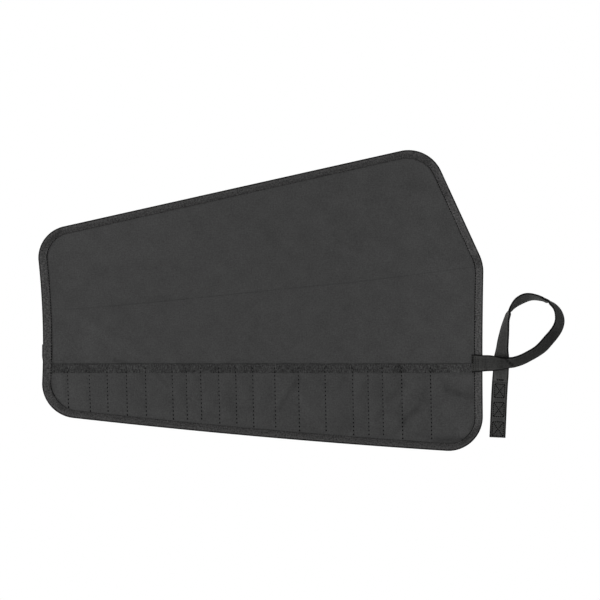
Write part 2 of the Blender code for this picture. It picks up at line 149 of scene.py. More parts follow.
# The strap's route along its middle, in metres from where it leaves the pouch. on_pouch and
# on_strap lift its lower edge off the surface, as shares of the pouch's level and of the
# strap's width. twist is in degrees, 0 where it lies flat and 90 where it stands on its edge.
Route = namedtuple("Route", "along up on_pouch on_strap twist")
ROUTE = (
    Route(-0.0147, 0.0010, 0.93, 0.00, 0.0),
    Route(-0.0002, 0.0012, 1.00, 0.00, 0.0),
    Route(0.0068, 0.0014, 0.70, 0.00, 3.0),
    Route(0.0156, 0.0012, 0.20, 0.13, 22.0),
    Route(0.0261, 0.0012, 0.00, 0.30, 42.0),
    Route(0.0347, 0.0023, 0.00, 0.40, 49.0),
    Route(0.0413, 0.0031, 0.00, 0.30, 50.0),
    Route(0.0518, 0.0063, 0.00, 0.08, 50.0),
    Route(0.0623, 0.0115, 0.00, 0.00, 50.0),
    Route(0.0723, 0.0174, 0.00, 0.00, 49.0),
    Route(0.0802, 0.0239, 0.00, 0.00, 45.0),
    Route(0.0870, 0.0316, 0.00, 0.00, 44.5),
    Route(0.0951, 0.0413, 0.00, 0.00, 46.0),
    Route(0.1003, 0.0502, 0.00, 0.00, 48.0),
    Route(0.1022, 0.0594, 0.00, 0.00, 52.0),
    Route(0.1000, 0.0695, 0.00, 0.00, 61.5),
    Route(0.0948, 0.0773, 0.00, 0.00, 75.0),
    Route(0.0871, 0.0828, 0.00, 0.00, 90.0),
    Route(0.0794, 0.0864, 0.00, 0.00, 92.0),
    Route(0.0715, 0.0887, 0.00, 0.00, 102.0),
    Route(0.0635, 0.0895, 0.00, 0.00, 113.5),
    Route(0.0553, 0.0881, 0.00, 0.00, 122.0),
    Route(0.0465, 0.0835, 0.00, 0.00, 120.0),
    Route(0.0396, 0.0767, 0.00, 0.00, 107.0),
    Route(0.0349, 0.0691, 0.00, 0.00, 90.0),
    Route(0.0316, 0.0598, 0.00, 0.00, 82.0),
    Route(0.0298, 0.0509, 0.00, 0.00, 69.0),
    Route(0.0283, 0.0408, 0.00, 0.00, 59.5),
    Route(0.0268, 0.0301, 0.00, 0.00, 52.0),
    Route(0.0256, 0.0180, 0.00, 0.00, 43.0),
    Route(0.0249, 0.0047, 0.00, 0.00, 17.0),
    Route(0.0242, -0.0113, 0.00, 0.00, 13.0),
    Route(0.0234, -0.0235, 0.00, 0.00, 1.0),
    Route(0.0230, -0.0300, 0.00, 0.00, 0.0),
    Route(0.0221, -0.0460, 0.00, 0.00, 0.0),
    Route(0.0211, -0.0713, 0.00, 0.00, 0.0),
    Route(0.0199, -0.0978, 0.00, 0.00, 0.0),
)

# The box stitches on the strap's free end: where each one starts and ends, measured back
# from the cut end, and how wide it is.
BoxStitch = namedtuple("BoxStitch", "near far width")
BOX_STITCHES = (
    BoxStitch(0.0018, 0.0209, 0.0148),
    BoxStitch(0.0279, 0.0467, 0.0141),
    BoxStitch(0.0534, 0.0713, 0.0134),
)

# The bars of thread where the strap is sewn on: how far each one lies from the sewn end, where
# it starts as a share of the half width, and how wide it is. The first, wide bar over half the
# width is painted shadow where the sewn end's fold stands off the pouch.
RootBar = namedtuple("RootBar", "reach low width")
ROOT_BARS = (
    # painted shadow under the fold of the sewn end
    RootBar(0.0009, 0.0, 0.0016),
    RootBar(0.0024, -1.0, 0.0005),
    RootBar(0.0052, -1.0, 0.0004),
    RootBar(0.0085, -1.0, 0.0005),
)

# The studio's lights: where each one hangs, how wide and deep it is, and its power in watts.
StudioLight = namedtuple("StudioLight", "name place size power")
LIGHTS = (
    StudioLight("top_light", (0.0, 0.0, 3.0), (3.0, 3.0), 58.0),
    StudioLight("key_light", (-1.9, -0.4, 2.4), (2.0, 1.0), 40.0),
    StudioLight("fill_light", (0.6, 2.2, 1.8), (2.2, 1.0), 9.0),
)
FLOOR_SIZE = 14.0
FLOOR_ROUGHNESS = 0.9
SURROUND_STRENGTH = 0.18
CAMERA_REACH = 100.0

# How closely the outline is worked out: points on a side and on a corner's round, and the
# distances between its stations for the cloth and for the strap.
SIDE_POINTS = 80
CORNER_POINTS = 40
STATION_SPACING = 0.006
FINE_SPACING = 0.004

# How far in from the outer edge the cloths end under the tape, in thicknesses of the tape.
CLOTH_RIM = 2
POCKET_RIM = 3

# How the canvas lies on the flap: its slow swell, the room left under its folds, and the old
# fold line's lift and width, the half width of the painted shade line along it, that shade's
# depth and the length in which it sets in. A pattern is a swell's width, height and seed. The rows
# of points above and below the fold line are shares of the rows that the whole depth would have.
FLAP_SWELL = 0.0009
BROAD_PATTERN = (0.120, 0.090, 2.7)
NARROW_PATTERN = (0.042, 0.034, 7.1)
NARROW_SHARE = 0.45
FOLD_ROOM = 0.0003
CREASE_LIFT = 0.00045
CREASE_WIDTH = 0.0028
CREASE_LINE = 0.0011
CREASE_SHADE = 0.24
CREASE_FADE = 0.12
ROWS_ABOVE_CREASE = 0.42
ROWS_BELOW_CREASE = 0.52

# How the canvas lies over the pockets: the fewest columns of points on one and the columns on
# the flat cloth beside the outer ones, the arch of each and how late it flattens towards the
# lower edge, the swell between the seams, the small puffs between a seam's stitches, and the
# share of the mouth tape's width in which the cloth comes down from the tape's back leg.
LEAST_COLUMNS = 8
MARGIN_COLUMNS = 4
ARCH_EASE = 1.2
ARCH_FALL = 4
POCKET_SWELL = 0.0006
POCKET_PATTERN = (0.030, 0.040, 4.3)
SWELL_END = 0.1
SEAM_PUFF = 0.00022
PUFF_REACH = 0.0030
PUFF_FALL = 8
TAPE_STEP = 0.4

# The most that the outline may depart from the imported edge.
OUTLINE_SLACK = 0.001

# The edge tape's heights: the length of its step at the mouth, how much lower its crown lies
# above the mouth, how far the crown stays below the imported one, its least height over the
# pressed layers, and its underside's height over the floor.
STEP_RUN = 0.0035
CROWN_STEP = 0.0014
CROWN_DROP = 0.0004
LEAST_CROWN = 0.0004
TAPE_FLOOR = 0.00025

# The edge tape's two ends at the left side: the level where they meet, how far the upper one
# laps over the lower one and for what share of that it stays up, how far it stands out, in
# multiples of its lift, and how high and over how many stations the lower one is tucked in.
SEAM_Y = -0.0590
OVERLAP_LENGTH = 0.024
OVERLAP_HOLD = 0.6
OVERLAP_OUTSET = 1.5
TUCK_RISE = 0.0003
TUCK_STATIONS = 8

# The edge tape's fold: its depth as a share of a half round, and the angles of the points on its
# outer and inner face, in degrees. The legs' end and middle are shares of the lap, and the
# under leg's start and the crown's place are shares of the fold's half height.
ROUND_DEPTH = 0.8
OUTER_ANGLES = (-75, -50, -25, 0, 25, 50, 75)
INNER_ANGLES = (60, 20, -20, -60)
LEG_END = 0.96
LEG_MIDDLE = 0.5
LEG_START = 1.1
CROWN_PLACE = 1.15

# The edge tape's upper leg where it slopes down from its crown. Each row lies a distance and a
# share of the lap in from the outer edge, and has a share of the whole fall and of the pucker.
SlopeRow = namedtuple("SlopeRow", "inward share fall pucker")
SLOPE_ROWS = (
    SlopeRow(0.0026, 0.0, 0.08, 0.1),
    SlopeRow(0.0, 0.42, 0.22, 0.3),
    SlopeRow(0.0, 0.60, 0.60, 0.6),
)

# The edge tape round its stitches: the dimple at each stitch, the row before and the row past
# them with their swell, the rim at the inner edge, and how far its inner face is set back.
STITCH_DIMPLE = 0.00012
BEFORE_STITCH = 0.0010
SWELL_BEFORE = 0.00022
PAST_STITCH = 0.0008
SWELL_PAST = 0.00010
RIM = 0.00012
RIM_SWELL = 0.00016
INNER_STEP = 0.00005

# The edge tape's small waves along the edge: the roll of its crown, and the pucker at corners
# with the slow drift of its length.
TAPE_ROLL = 0.00016
ROLL_LENGTH = 0.021
ROLL_SEED = 1.7
PUCKER = 0.00035
PUCKER_LENGTH = 0.0061
PUCKER_DRIFT = 0.8
DRIFT_LENGTH = 0.011

# The edge tape's painted light and shade at depths from the outer edge, on the sides that run up
# the pouch and on those that run along it: painted shade on the outer rim where it rolls under, a
# painted highlight on the fold's shoulder and painted shade as it slopes down to the stitches. Then
# its painted sheen at directions that the outer edge faces, from -1 left to 1 right, brightest on
# the sides that run up the pouch.
UPRIGHT_ROLL_LIGHT = (
    (0.0, 0.0010, 0.0016, 0.0020, 0.0026, 0.0040, 0.0056, 0.0075),
    (0.05, 0.08, 0.45, 0.95, 1.22, 0.97, 0.95, 1.02),
)
LEVEL_ROLL_LIGHT = (
    (0.0, 0.0010, 0.0016, 0.0020, 0.0026, 0.0040, 0.0060, 0.0093),
    (0.05, 0.08, 0.45, 1.05, 1.38, 1.14, 1.00, 0.90),
)
RUN_SHEEN = ((-1.0, -0.7, -0.2, 0.25, 0.7, 1.0), (1.20, 1.10, 0.98, 0.98, 1.35, 1.55))

# The mouth tape's section. Near the lower edge of its front leg each row is a distance in from
# that edge and a height in thicknesses of the tape. The stitches draw it down there. The back
# leg is a share of the front one.
MOUTH_EDGE = ((0.0, 0.40), (0.0003, 1.00), (0.0016, 0.86), (0.0030, 1.05))
MOUTH_CROWN = 1.1
MOUTH_ANGLES = (80, 45, 0, -45, -80)
CROWN_COLUMN = 4
FOLD_INSET = 0.0002
FOLD_GAP = 0.0001
BACK_LEG = 0.8
BACK_MIDDLE = 0.45

# The mouth tape's painted light at depths below the mouth, over its folded top and along its
# lower edge where the step down to the cloth would shade it, and its tone at places along the
# pouch, lighter towards the right end.
MOUTH_ROLL_LIGHT = ((0.0, 0.0006, 0.0085, 0.0100), (1.05, 1.05, 1.00, 1.20))
MOUTH_TONE_ALONG = (
    (-0.27, -0.155, -0.135, 0.10, 0.17, 0.24, 0.255),
    (1.0, 1.15, 1.04, 1.04, 1.12, 1.22, 1.34),
)

# How the strap is made: the steps between two rows of its route, its gaps to what lies below,
# how quickly it turns over, in degrees, where it stands upright, how it is cupped and thickened
# there, how it is flared where it is sewn on, and its section with firm edges.
STRAP_STEPS = 10
STRAP_GAP = 0.0001
STRAP_FLOOR = 0.0001
STRAP_LAYER = 0.0001
UPRIGHT = 90.0
QUICK_TURN = 6.0
QUICK_START = 2.0
QUICK_REACH = 14.0
CUP = 0.0016
CUP_REACH = 0.26
TURN_SWELL = 0.8
ROOT_FLARE = 0.10
ROOT_RUN = 0.022
RIBBON_SHARES = (-0.975, -0.93, -0.86, -0.78, -0.5, 0.0, 0.5, 0.78, 0.86, 0.93, 0.975)
RIBBON_HOLLOW = 0.25
HOLLOW_EASE = 6
SELVEDGE = 0.9

# The strap's tone across it, lighter over the selvedges and with painted shade on its rounded
# edges; its painted light and shade along it, with a bright painted sheen over the loop's upper
# stretch; and the painted shade in the sharp kink that crosses it: from where to where the kink
# runs across and along, how wide it is and how dark.
SELVEDGE_AND_EDGE_SHADE = ((0.60, 0.72, 0.81, 0.88, 1.00), (1.00, 1.15, 1.35, 0.15, 0.04))
STRAP_SHEEN_AND_SHADE = (
    (0.0, 0.010, 0.019, 0.032, 0.042, 0.052, 0.065, 0.085, 0.107, 0.124, 0.145, 0.168, 0.180,
     0.195, 0.205, 0.220, 0.238, 0.252, 0.268, 0.300, 0.318, 0.330, 0.345),
    (0.75, 1.05, 0.86, 0.90, 0.78, 1.25, 1.10, 0.85, 0.95, 0.66, 1.30, 1.60, 3.20,
     3.30, 1.75, 1.80, 3.00, 2.10, 1.25, 1.05, 1.00, 1.35, 1.30),
)
KINK = ((-0.5, 0.8), (0.0560, 0.0480))
KINK_WIDTH = 0.0018
KINK_SHADE = 0.92

# The hook tape: its tone across a box stitch, and the painted shadow along its upper end, how far
# its plain edges reach in, where a hook's foot lies in the base, as a share of the base's
# thickness, the hook's wire, and its bend as leans and rises in shares of its height.
BOX_TONE = (1.15, 1.10, 1.10, 1.15)
BOX_RIM = 0.001
PATCH_RIM = 0.0012
PATCH_END_SHADOW = 0.2
HOOK_SELVEDGE = 0.0026
HOOK_SINK = 0.9
HOOK_WIRE = 0.00016
HOOK_BEND = ((0.0, 0.0), (0.0, 0.55), (0.22, 0.92), (0.55, 0.85), (0.62, 0.55))

# The thread on the strap: the room that the hooks leave beside it, the bar next to the hook
# tape, and how far the bars at the sewn end stop short of the strap's edges.
THREAD_CLEAR = 0.0010
PATCH_BAR = 0.0094
PATCH_BAR_GAP = 0.0030
PATCH_BAR_WIDTH = 0.0025
ROOT_INSET = 0.0014

# Half the length of each kind of stitch as a share of its pitch, and half the length of a
# needle hole's dark mark of painted shade as a share of its width.
BOX_RUN = 0.40
EDGE_RUN = 0.45
POCKET_RUN = 0.34
MOUTH_RUN = 0.36
HOLE_RUN = 0.65

# The seams: how far in the mouth's stitches run, as a share of the edge's inset, how near the
# edge tape a pocket's seam ends, in stitches, how deep the edge's thread is sunk and its least
# width on the level sides, as a share, and one stitch's roundness and sides. On the sides that run
# up the pouch the edge's thread is widest, where it also paints the shade along the tape's inner
# edge.
MOUTH_INSET = 0.8
SEAM_END = 0.17
SUNK_THREAD = 0.00002
EDGE_THREAD_LEAST = 0.15
STITCH_ROUND = 0.7
STITCH_SIDES = 6

# How the finishes are made: how fine the clouds and the grain are, a weave's mean height, how
# high the finer threads and the streaks stand, the relief's strength, how far the roughness
# varies, and the thread's gloss, roughness and twist.
CLOUD_SCALE = 42.0
GRAIN_SCALE = 520.0
MEAN_HEIGHT = 0.65
FILL_HEIGHT = 0.15
STREAK_HEIGHT = 0.5
BUMP_STRENGTH = 0.6
GLOSS_SPREAD = 0.08
THREAD_GLOSS = {"thread": 0.30, "dark_thread": 0.02}
THREAD_ROUGHNESS = 0.6
TWIST_SCALE = 2400.0

# Faces that meet at less than this angle are shaded as one smooth surface.
SMOOTH_ANGLE = math.radians(50)

# The columns of points down the pocket panel: the place at the mouth, the lean to the lower
# edge, the share of the arch and the distance to the nearest seam.
Columns = namedtuple("Columns", "top lean arch seam")

# One step of the strap: its middle, the directions across it, out of its face and ahead, and
# the length reached.
StrapFrame = namedtuple("StrapFrame", "centre across face ahead along")


def length_size(name, description, default):
    """A length that a user may change."""
    return bpy.props.FloatProperty(
        name=name, description=description, default=default, min=0.0, precision=4,
        unit="LENGTH", subtype="DISTANCE")


def colour(name, description, default):
    """A colour that a user may change."""
    return bpy.props.FloatVectorProperty(
        name=name, description=description, default=default, min=0.0, max=1.0, size=3,
        subtype="COLOR")


class PouchSizes(bpy.types.PropertyGroup):
    """Sizes of the cloth, the pockets and the tape."""

    panel_length: length_size("Panel length", "Length of the panel's outline", 0.593)
    panel_depth: length_size("Panel depth", "Depth of the panel's outline", 0.400)
    corner_radius: length_size("Corner radius", "Radius that the corners' rounds follow", 0.046)
    cloth: length_size("Cloth", "Thickness of the canvas", 0.0006)
    tape: length_size("Tape", "Thickness of the edge and mouth tape", 0.0006)
    layer_gap: length_size("Layer gap", "Air between two layers sewn together", 0.00012)
    tape_lap: length_size("Tape lap", "How far the edge tape reaches over the cloth", 0.0105)
    rim_level: length_size("Rim level", "Height of the cloth's underside in the edge tape", 0.0010)
    flat_level: length_size("Flat level", "Height of the cloth's underside away from the tape", 0.0003)
    sag_run: length_size("Sag run", "Distance in which the cloth comes down from the tape", 0.024)
    mouth_height: length_size("Mouth height", "Height of the pocket mouth above the lower edge", 0.115)
    mouth_tape_width: length_size("Mouth tape", "Width of the tape along the mouth", 0.0117)
    pocket_rise: length_size("Pocket rise", "How far each pocket stands open at its mouth", 0.0013)
    pocket_lean: length_size("Pocket lean", "How far each seam leans over its length", 0.0020)
    end_margin: length_size("End margin", "Flat cloth beside the first and last pocket", 0.0055)


class StrapSizes(bpy.types.PropertyGroup):
    """Sizes of the tie strap and its hook tape."""

    width: length_size("Width", "Width of the webbing", 0.0215)
    thickness: length_size("Thickness", "Thickness of the webbing", 0.0018)
    length: length_size("Length", "Length of the webbing from its sewn end to its cut end", 0.408)
    patch_length: length_size("Patch length", "Length of the hook tape", 0.074)
    patch_width: length_size("Patch width", "Width of the hook tape", 0.0205)
    patch_thickness: length_size("Patch thickness", "Thickness of the hook tape's base", 0.0008)
    hook_pitch: length_size("Hook pitch", "Distance between hooks", 0.0016)
    hook_height: length_size("Hook height", "Height of a hook over the base", 0.0007)


class ThreadSizes(bpy.types.PropertyGroup):
    """Sizes of the stitches."""

    thickness: length_size("Thread", "Thickness of the thread", 0.00050)
    # the edge thread's width also carries painted shade along the tape's inner edge
    edge_thickness: length_size("Edge thread", "Width of the thread along the edge tape", 0.0016)
    box_thickness: length_size("Box thread", "Width of the doubled thread on the strap", 0.0015)
    # a needle hole is drawn as a dark mark of painted shade this wide
    hole: length_size("Needle hole", "Width of the hole that the needle leaves", 0.0020)
    pocket_pitch: length_size("Pocket stitch", "Length of a stitch between pockets", 0.0052)
    edge_pitch: length_size("Edge stitch", "Length of a stitch along the edge tape", 0.0036)
    box_pitch: length_size("Box stitch", "Length of a stitch in a box on the strap", 0.0026)
    edge_inset: length_size("Edge inset", "Distance from the tape's inner edge to its stitches", 0.0010)


class PouchColours(bpy.types.PropertyGroup):
    """Colours of the cloths, the thread and the floor."""

    canvas: colour("Canvas", "Coated canvas of both panels", (0.038, 0.038, 0.038))
    edge_tape: colour("Edge tape", "Ribbed tape round the edge", (0.0345, 0.0340, 0.0340))
    mouth_tape: colour("Mouth tape", "Ribbed tape along the mouth", (0.0250, 0.0250, 0.0250))
    strap: colour("Strap", "Webbing of the tie strap", (0.036, 0.036, 0.035))
    hook_tape: colour("Hook tape", "Patch on the strap's free end", (0.037, 0.037, 0.036))
    thread: colour("Thread", "Thread of all the seams", (0.026, 0.026, 0.026))
    # the thread's colour darkened with painted shade: it draws the box stitches and bars on the strap,
    # the painted shade along the edge tape's inner edge and the painted shade in the needle holes
    dark_thread: colour("Dark thread", "Thread pulled deep into tape and webbing", (0.002, 0.002, 0.002))
    floor: colour("Floor", "Pale surface under the pouch", (0.45, 0.45, 0.45))


def smooth(value):
    """An eased step from 0 to 1."""
    held = np.clip(value, 0.0, 1.0)
    return held * held * (3.0 - 2.0 * held)


def right_of(direction):
    """The flat direction a quarter turn clockwise, which points out of the outline."""
    return np.array((direction[1], -direction[0]))


def unit(vector):
    """A vector's direction."""
    return vector / np.linalg.norm(vector)


def panel_point(sizes, across, up):
    """The point at these shares of the panel's length and depth."""
    return np.array(((across - 0.5) * sizes.panel_length, (up - 0.5) * sizes.panel_depth))


def mouth_y(sizes):
    """The level of the pockets' mouth."""
    return sizes.mouth_height - sizes.panel_depth / 2


def lengths_along(points):
    """The length reached at each point of a line."""
    steps = np.linalg.norm(np.diff(points, axis=0), axis=1)
    return np.concatenate(([0.0], np.cumsum(steps)))


def crossings(line, level, axis):
    """Where a closed line crosses a level of one axis, as values on the other axis."""
    after = np.roll(line, -1, axis=0)
    met = (line[:, axis] > level) != (after[:, axis] > level)
    start, end = line[met], after[met]
    share = (level - start[:, axis]) / (end[:, axis] - start[:, axis])
    return start[:, 1 - axis] + (end[:, 1 - axis] - start[:, 1 - axis]) * share


class Outline:
    """The pouch's outer edge as evenly spaced stations, anticlockwise from the lower left."""

    def __init__(self, sizes, spacing):
        rows = self.track(sizes)
        rows.append(rows[0])
        rows = np.array(rows)
        reached = lengths_along(rows[:, :2])
        self.count = round(reached[-1] / spacing)
        self.step = reached[-1] / self.count
        self.along = np.arange(self.count) * self.step
        table = [np.interp(self.along, reached, column) for column in rows.T]
        self.points = np.stack(table[0:2], axis=1)
        normals = np.stack(table[2:4], axis=1)
        self.normals = normals / np.linalg.norm(normals, axis=1)[:, None]
        self.laps = table[4]
        self.bends = table[5]

    def track(self, sizes):
        """Rows of x, y, the outward direction's two parts, lap and bend, closely spaced."""
        rows = []
        rounds = [self.corner_rows(sizes, index) for index in range(len(CORNERS))]
        for index, corner in enumerate(CORNERS):
            rows.extend(rounds[index])
            start = np.array(rounds[index][-1][:2])
            end = np.array(rounds[(index + 1) % len(CORNERS)][0][:2])
            side = end - start
            outward = right_of(unit(side))
            swell = corner.bow * np.linalg.norm(side)
            lap = corner.lap * sizes.tape_lap
            for share in np.linspace(0.0, 1.0, SIDE_POINTS)[1:-1]:
                point = start + side * share + outward * swell * 4 * share * (1 - share)
                rows.append((*point, *outward, lap, 0.0))
        return rows

    def corner_rows(self, sizes, index):
        """The rows of one corner's round."""
        corner = CORNERS[index]
        before = CORNERS[index - 1]
        after = CORNERS[(index + 1) % len(CORNERS)]
        tip = panel_point(sizes, corner.across, corner.up)
        arrive = unit(tip - panel_point(sizes, before.across, before.up))
        leave = unit(panel_point(sizes, after.across, after.up) - tip)
        radius = sizes.corner_radius * corner.round
        turn = math.acos(float(arrive @ leave))
        middle = tip - arrive * radius * math.tan(turn / 2) - right_of(arrive) * radius
        rows = []
        for share in np.linspace(0.0, 1.0, CORNER_POINTS):
            normal = right_of(arrive) * math.cos(turn * share) + arrive * math.sin(turn * share)
            bend = math.sin(math.pi * share)
            reach = before.lap + (corner.lap - before.lap) * share + corner.gather * bend
            rows.append((*(middle + normal * radius), *normal, reach * sizes.tape_lap, bend))
        return rows

    def inset(self, distance):
        """The closed line that lies distance inside the outer edge."""
        return self.points - self.normals * distance

    def tape_line(self):
        """The closed line along the edge tape's inner edge."""
        return self.points - self.normals * self.laps[:, None]

    def depth_at(self, x, y):
        """How far inside the tape's inner edge each point lies, 0 under the tape."""
        points = np.stack((x.ravel(), y.ravel()), axis=1)
        start, side = self.points, np.roll(self.points, -1, axis=0) - self.points
        square = (side ** 2).sum(axis=1)
        nearest = np.full(len(points), np.inf)
        for index in range(self.count):
            away = points - start[index]
            share = np.clip(away @ side[index] / square[index], 0.0, 1.0)
            gap = np.linalg.norm(away - share[:, None] * side[index], axis=1) - self.laps[index]
            nearest = np.minimum(nearest, gap)
        return np.maximum(nearest, 0.0).reshape(x.shape)


def wander(x, y, width, height, seed):
    """A slow random height between -1 and 1 at each point."""
    places = zip(x.ravel(), y.ravel())
    heights = [noise.noise(Vector((a / width, b / height, seed))) for a, b in places]
    return np.array(heights).reshape(x.shape)


def back_level(sizes, outline, x, y):
    """Height of the back panel's underside: caught in the tape, and lying slack inside it."""
    depth = outline.depth_at(x, y)
    slack = smooth(depth / sizes.sag_run)
    level = sizes.rim_level + (sizes.flat_level - sizes.rim_level) * slack
    swell = wander(x, y, *BROAD_PATTERN) + NARROW_SHARE * wander(x, y, *NARROW_PATTERN)
    level += slack * (0.5 + 0.5 * swell) * FLAP_SWELL
    level += slack * (fold_field(FLAP_FOLDS, x, y)[0] + FOLD_ROOM) * (y > mouth_y(sizes))
    away = y - crease_y(sizes, x)
    return level + CREASE_LIFT * np.exp(-np.abs(away) / CREASE_WIDTH) * slack


def crease_y(sizes, x):
    """The old fold line's place across the flap, at each place along the pouch."""
    line = np.array([panel_point(sizes, *row) for row in CREASE])
    return np.interp(x, line[:, 0], line[:, 1])


def mouth_ends(sizes, outline):
    """The two ends of the mouth, at the edge tape's inner edge."""
    found = crossings(outline.tape_line(), mouth_y(sizes), 1)
    return found.min(), found.max()


def pocket_edges(sizes, outline):
    """Where the pockets begin and end along the mouth."""
    left, right = mouth_ends(sizes, outline)
    shares = np.concatenate(([0.0], np.cumsum(POCKET_SHARES)))
    return left + (right - left) * shares / shares[-1]


def pocket_columns(sizes, outline, spacing):
    """The pocket panel's columns: place at the mouth, lean, arch and distance to a seam."""
    edges = pocket_edges(sizes, outline)
    last = len(POCKET_SHARES) - 1
    top, lean, arch, seam = [], [], [], []
    for index, (left, right) in enumerate(zip(edges, edges[1:])):
        low = left + sizes.end_margin if index == 0 else left
        high = right - sizes.end_margin if index == last else right
        steps = max(LEAST_COLUMNS, round((high - low) / spacing))
        for step in range(0 if index == 0 else 1, steps + 1):
            share = step / steps
            round_off = 1 - (2 * share - 1) ** 2
            top.append(low + (high - low) * share)
            left_lean = 0.0 if index == 0 else 1.0
            right_lean = 0.0 if index == last else 1.0
            lean.append(sizes.pocket_lean * (left_lean + (right_lean - left_lean) * share))
            arch.append(round_off ** ARCH_EASE)
            near = [] if index == 0 else [top[-1] - low]
            near += [] if index == last else [high - top[-1]]
            seam.append(min(near))
    margins = np.linspace(0.0, 1.0, MARGIN_COLUMNS, endpoint=False)
    before = edges[0] + margins * sizes.end_margin
    after = (edges[-1] - margins * sizes.end_margin)[::-1]
    top = np.concatenate((before, top, after))
    flat = np.zeros(len(margins))
    far = np.full(len(margins), edges[-1] - edges[0])
    lean = np.concatenate((flat, lean, flat))
    arch = np.concatenate((flat, arch, flat))
    seam = np.concatenate((far, seam, far))
    return Columns(top, lean, arch, seam)


def pocket_depths(sizes, outline, columns):
    """How far below the mouth each column meets the edge tape."""
    line = outline.tape_line()
    left, right = mouth_ends(sizes, outline)
    places = np.clip(columns.top + columns.lean, left + sizes.layer_gap, right - sizes.layer_gap)
    return np.array([mouth_y(sizes) - crossings(line, x, 0).min() for x in places])


def pocket_surface(sizes, outline, columns, drops):
    """The pocket panel's underside, at drops below the mouth: rows of points by column."""
    threads = bpy.context.scene.tool_pouch_threads
    depths = pocket_depths(sizes, outline, columns)
    share = np.clip(drops / depths, 0.0, 1.0)
    x = columns.top + columns.lean * share
    y = mouth_y(sizes) - drops
    level = back_level(sizes, outline, x, y) + sizes.cloth + sizes.layer_gap
    under_tape = smooth((sizes.mouth_tape_width - drops) / (TAPE_STEP * sizes.mouth_tape_width))
    level += under_tape * (sizes.tape + sizes.layer_gap)
    open_share = columns.arch * (1 - share ** ARCH_FALL)
    wave = 0.5 - 0.5 * np.cos(2 * math.pi * drops / threads.pocket_pitch)
    puff = SEAM_PUFF * wave * np.exp(-(columns.seam / PUFF_REACH) ** 2) * (1 - share ** PUFF_FALL)
    slack = (1 - np.exp(-columns.seam / PUFF_REACH)) * smooth((1 - share) / SWELL_END)
    swell = 0.5 + 0.5 * wander(x, y, *POCKET_PATTERN)
    lift = fold_field(POCKET_FOLDS, x, y)[0]
    level += sizes.pocket_rise * open_share + puff + slack * (swell * POCKET_SWELL + lift)
    return x, y, level


def fold_field(folds, x, y):
    """How far the soft folds lift the cloth at each point, and how much painted shade they lay on it."""
    lift, shade = np.zeros(x.shape), np.zeros(x.shape)
    for fold in folds:
        side_x, side_y = fold.end_x - fold.start_x, fold.end_y - fold.start_y
        square = side_x ** 2 + side_y ** 2
        reach = ((x - fold.start_x) * side_x + (y - fold.start_y) * side_y) / square
        share = np.clip(reach, 0.0, 1.0)
        away = np.hypot(x - fold.start_x - share * side_x, y - fold.start_y - share * side_y)
        near = np.exp(-(away / fold.half_width) ** 2)
        lift += fold.lift * near
        shade += fold.shade * near
    return lift, shade


def made(*names):
    """The named pieces that have been made so far."""
    return [bpy.data.objects[name] for name in names if name in bpy.data.objects]


def new_piece(name, points, faces, material, weave=None, tone=None):
    """A mesh object from points and faces. Where they are given, a UV map in metres carries
    the weave along the piece, and tone makes it darker or lighter from point to point."""
    mesh = bpy.data.meshes.new(name)
    mesh.from_pydata(np.asarray(points).tolist(), [], faces)
    if weave is not None:
        layer = mesh.uv_layers.new(name="weave")
        corners = np.empty(len(mesh.loops), dtype=np.int32)
        mesh.loops.foreach_get("vertex_index", corners)
        layer.data.foreach_set("uv", np.asarray(weave, dtype=np.float32)[corners].ravel())
    if tone is not None:
        layer = mesh.attributes.new("tone", "FLOAT", "POINT")
        layer.data.foreach_set("value", np.asarray(tone, dtype=np.float32).ravel())
    mesh.materials.append(material)
    piece = bpy.data.objects.new(name, mesh)
    bpy.context.scene.collection.objects.link(piece)
    bpy.ops.object.select_all(action="DESELECT")
    piece.select_set(True)
    bpy.context.view_layer.objects.active = piece
    bpy.ops.object.mode_set(mode="EDIT")
    bpy.ops.mesh.select_all(action="SELECT")
    bpy.ops.mesh.normals_make_consistent(inside=False)
    bpy.ops.object.mode_set(mode="OBJECT")
    bpy.ops.object.shade_smooth_by_angle(angle=SMOOTH_ANGLE)
    return piece


def weave_map(along, across):
    """A UV map in metres for a grid of points: how far along the piece and how far across."""
    return np.stack(np.broadcast_arrays(along[:, None], across[None]), axis=-1).reshape(-1, 2)


def grid_faces(rows, columns, offset=0, flip=False):
    """The four-sided faces of a grid of points."""
    index = np.arange(rows * columns).reshape(rows, columns) + offset
    corners = (index[:-1, :-1], index[1:, :-1], index[1:, 1:], index[:-1, 1:])
    if flip:
        corners = corners[::-1]
    return np.stack(corners, axis=-1).reshape(-1, 4).tolist()


def sheet_faces(rows, columns):
    """The faces of two grids, one over the other, closed round their rim."""
    count = rows * columns
    index = np.arange(count).reshape(rows, columns)
    rim = np.concatenate((index[0, :-1], index[:-1, -1], index[-1, :0:-1], index[:0:-1, 0]))
    after = np.roll(rim, -1)
    sides = np.stack((rim, rim + count, after + count, after), axis=1).tolist()
    return grid_faces(rows, columns) + grid_faces(rows, columns, count, flip=True) + sides


def new_cloth(name, x, y, z, thickness, tone):
    """A sheet of canvas with two faces, from the grid of points of its underside."""
    under = np.stack((x, y, z), axis=-1).reshape(-1, 3)
    points = np.concatenate((under, under + (0.0, 0.0, thickness)))
    return new_piece(
        name, points, sheet_faces(*x.shape), shared_material("canvas"),
        tone=np.concatenate((tone, tone)))


def loft_faces(sections, corners):
    """The faces of a skin through closed sections, capped at both ends."""
    index = np.arange(sections * corners).reshape(sections, corners)
    after = np.roll(index, -1, axis=1)
    skin = np.stack((index[:-1], index[1:], after[1:], after[:-1]), axis=-1).reshape(-1, 4).tolist()
    return skin + [index[0].tolist(), index[-1, ::-1].tolist()]


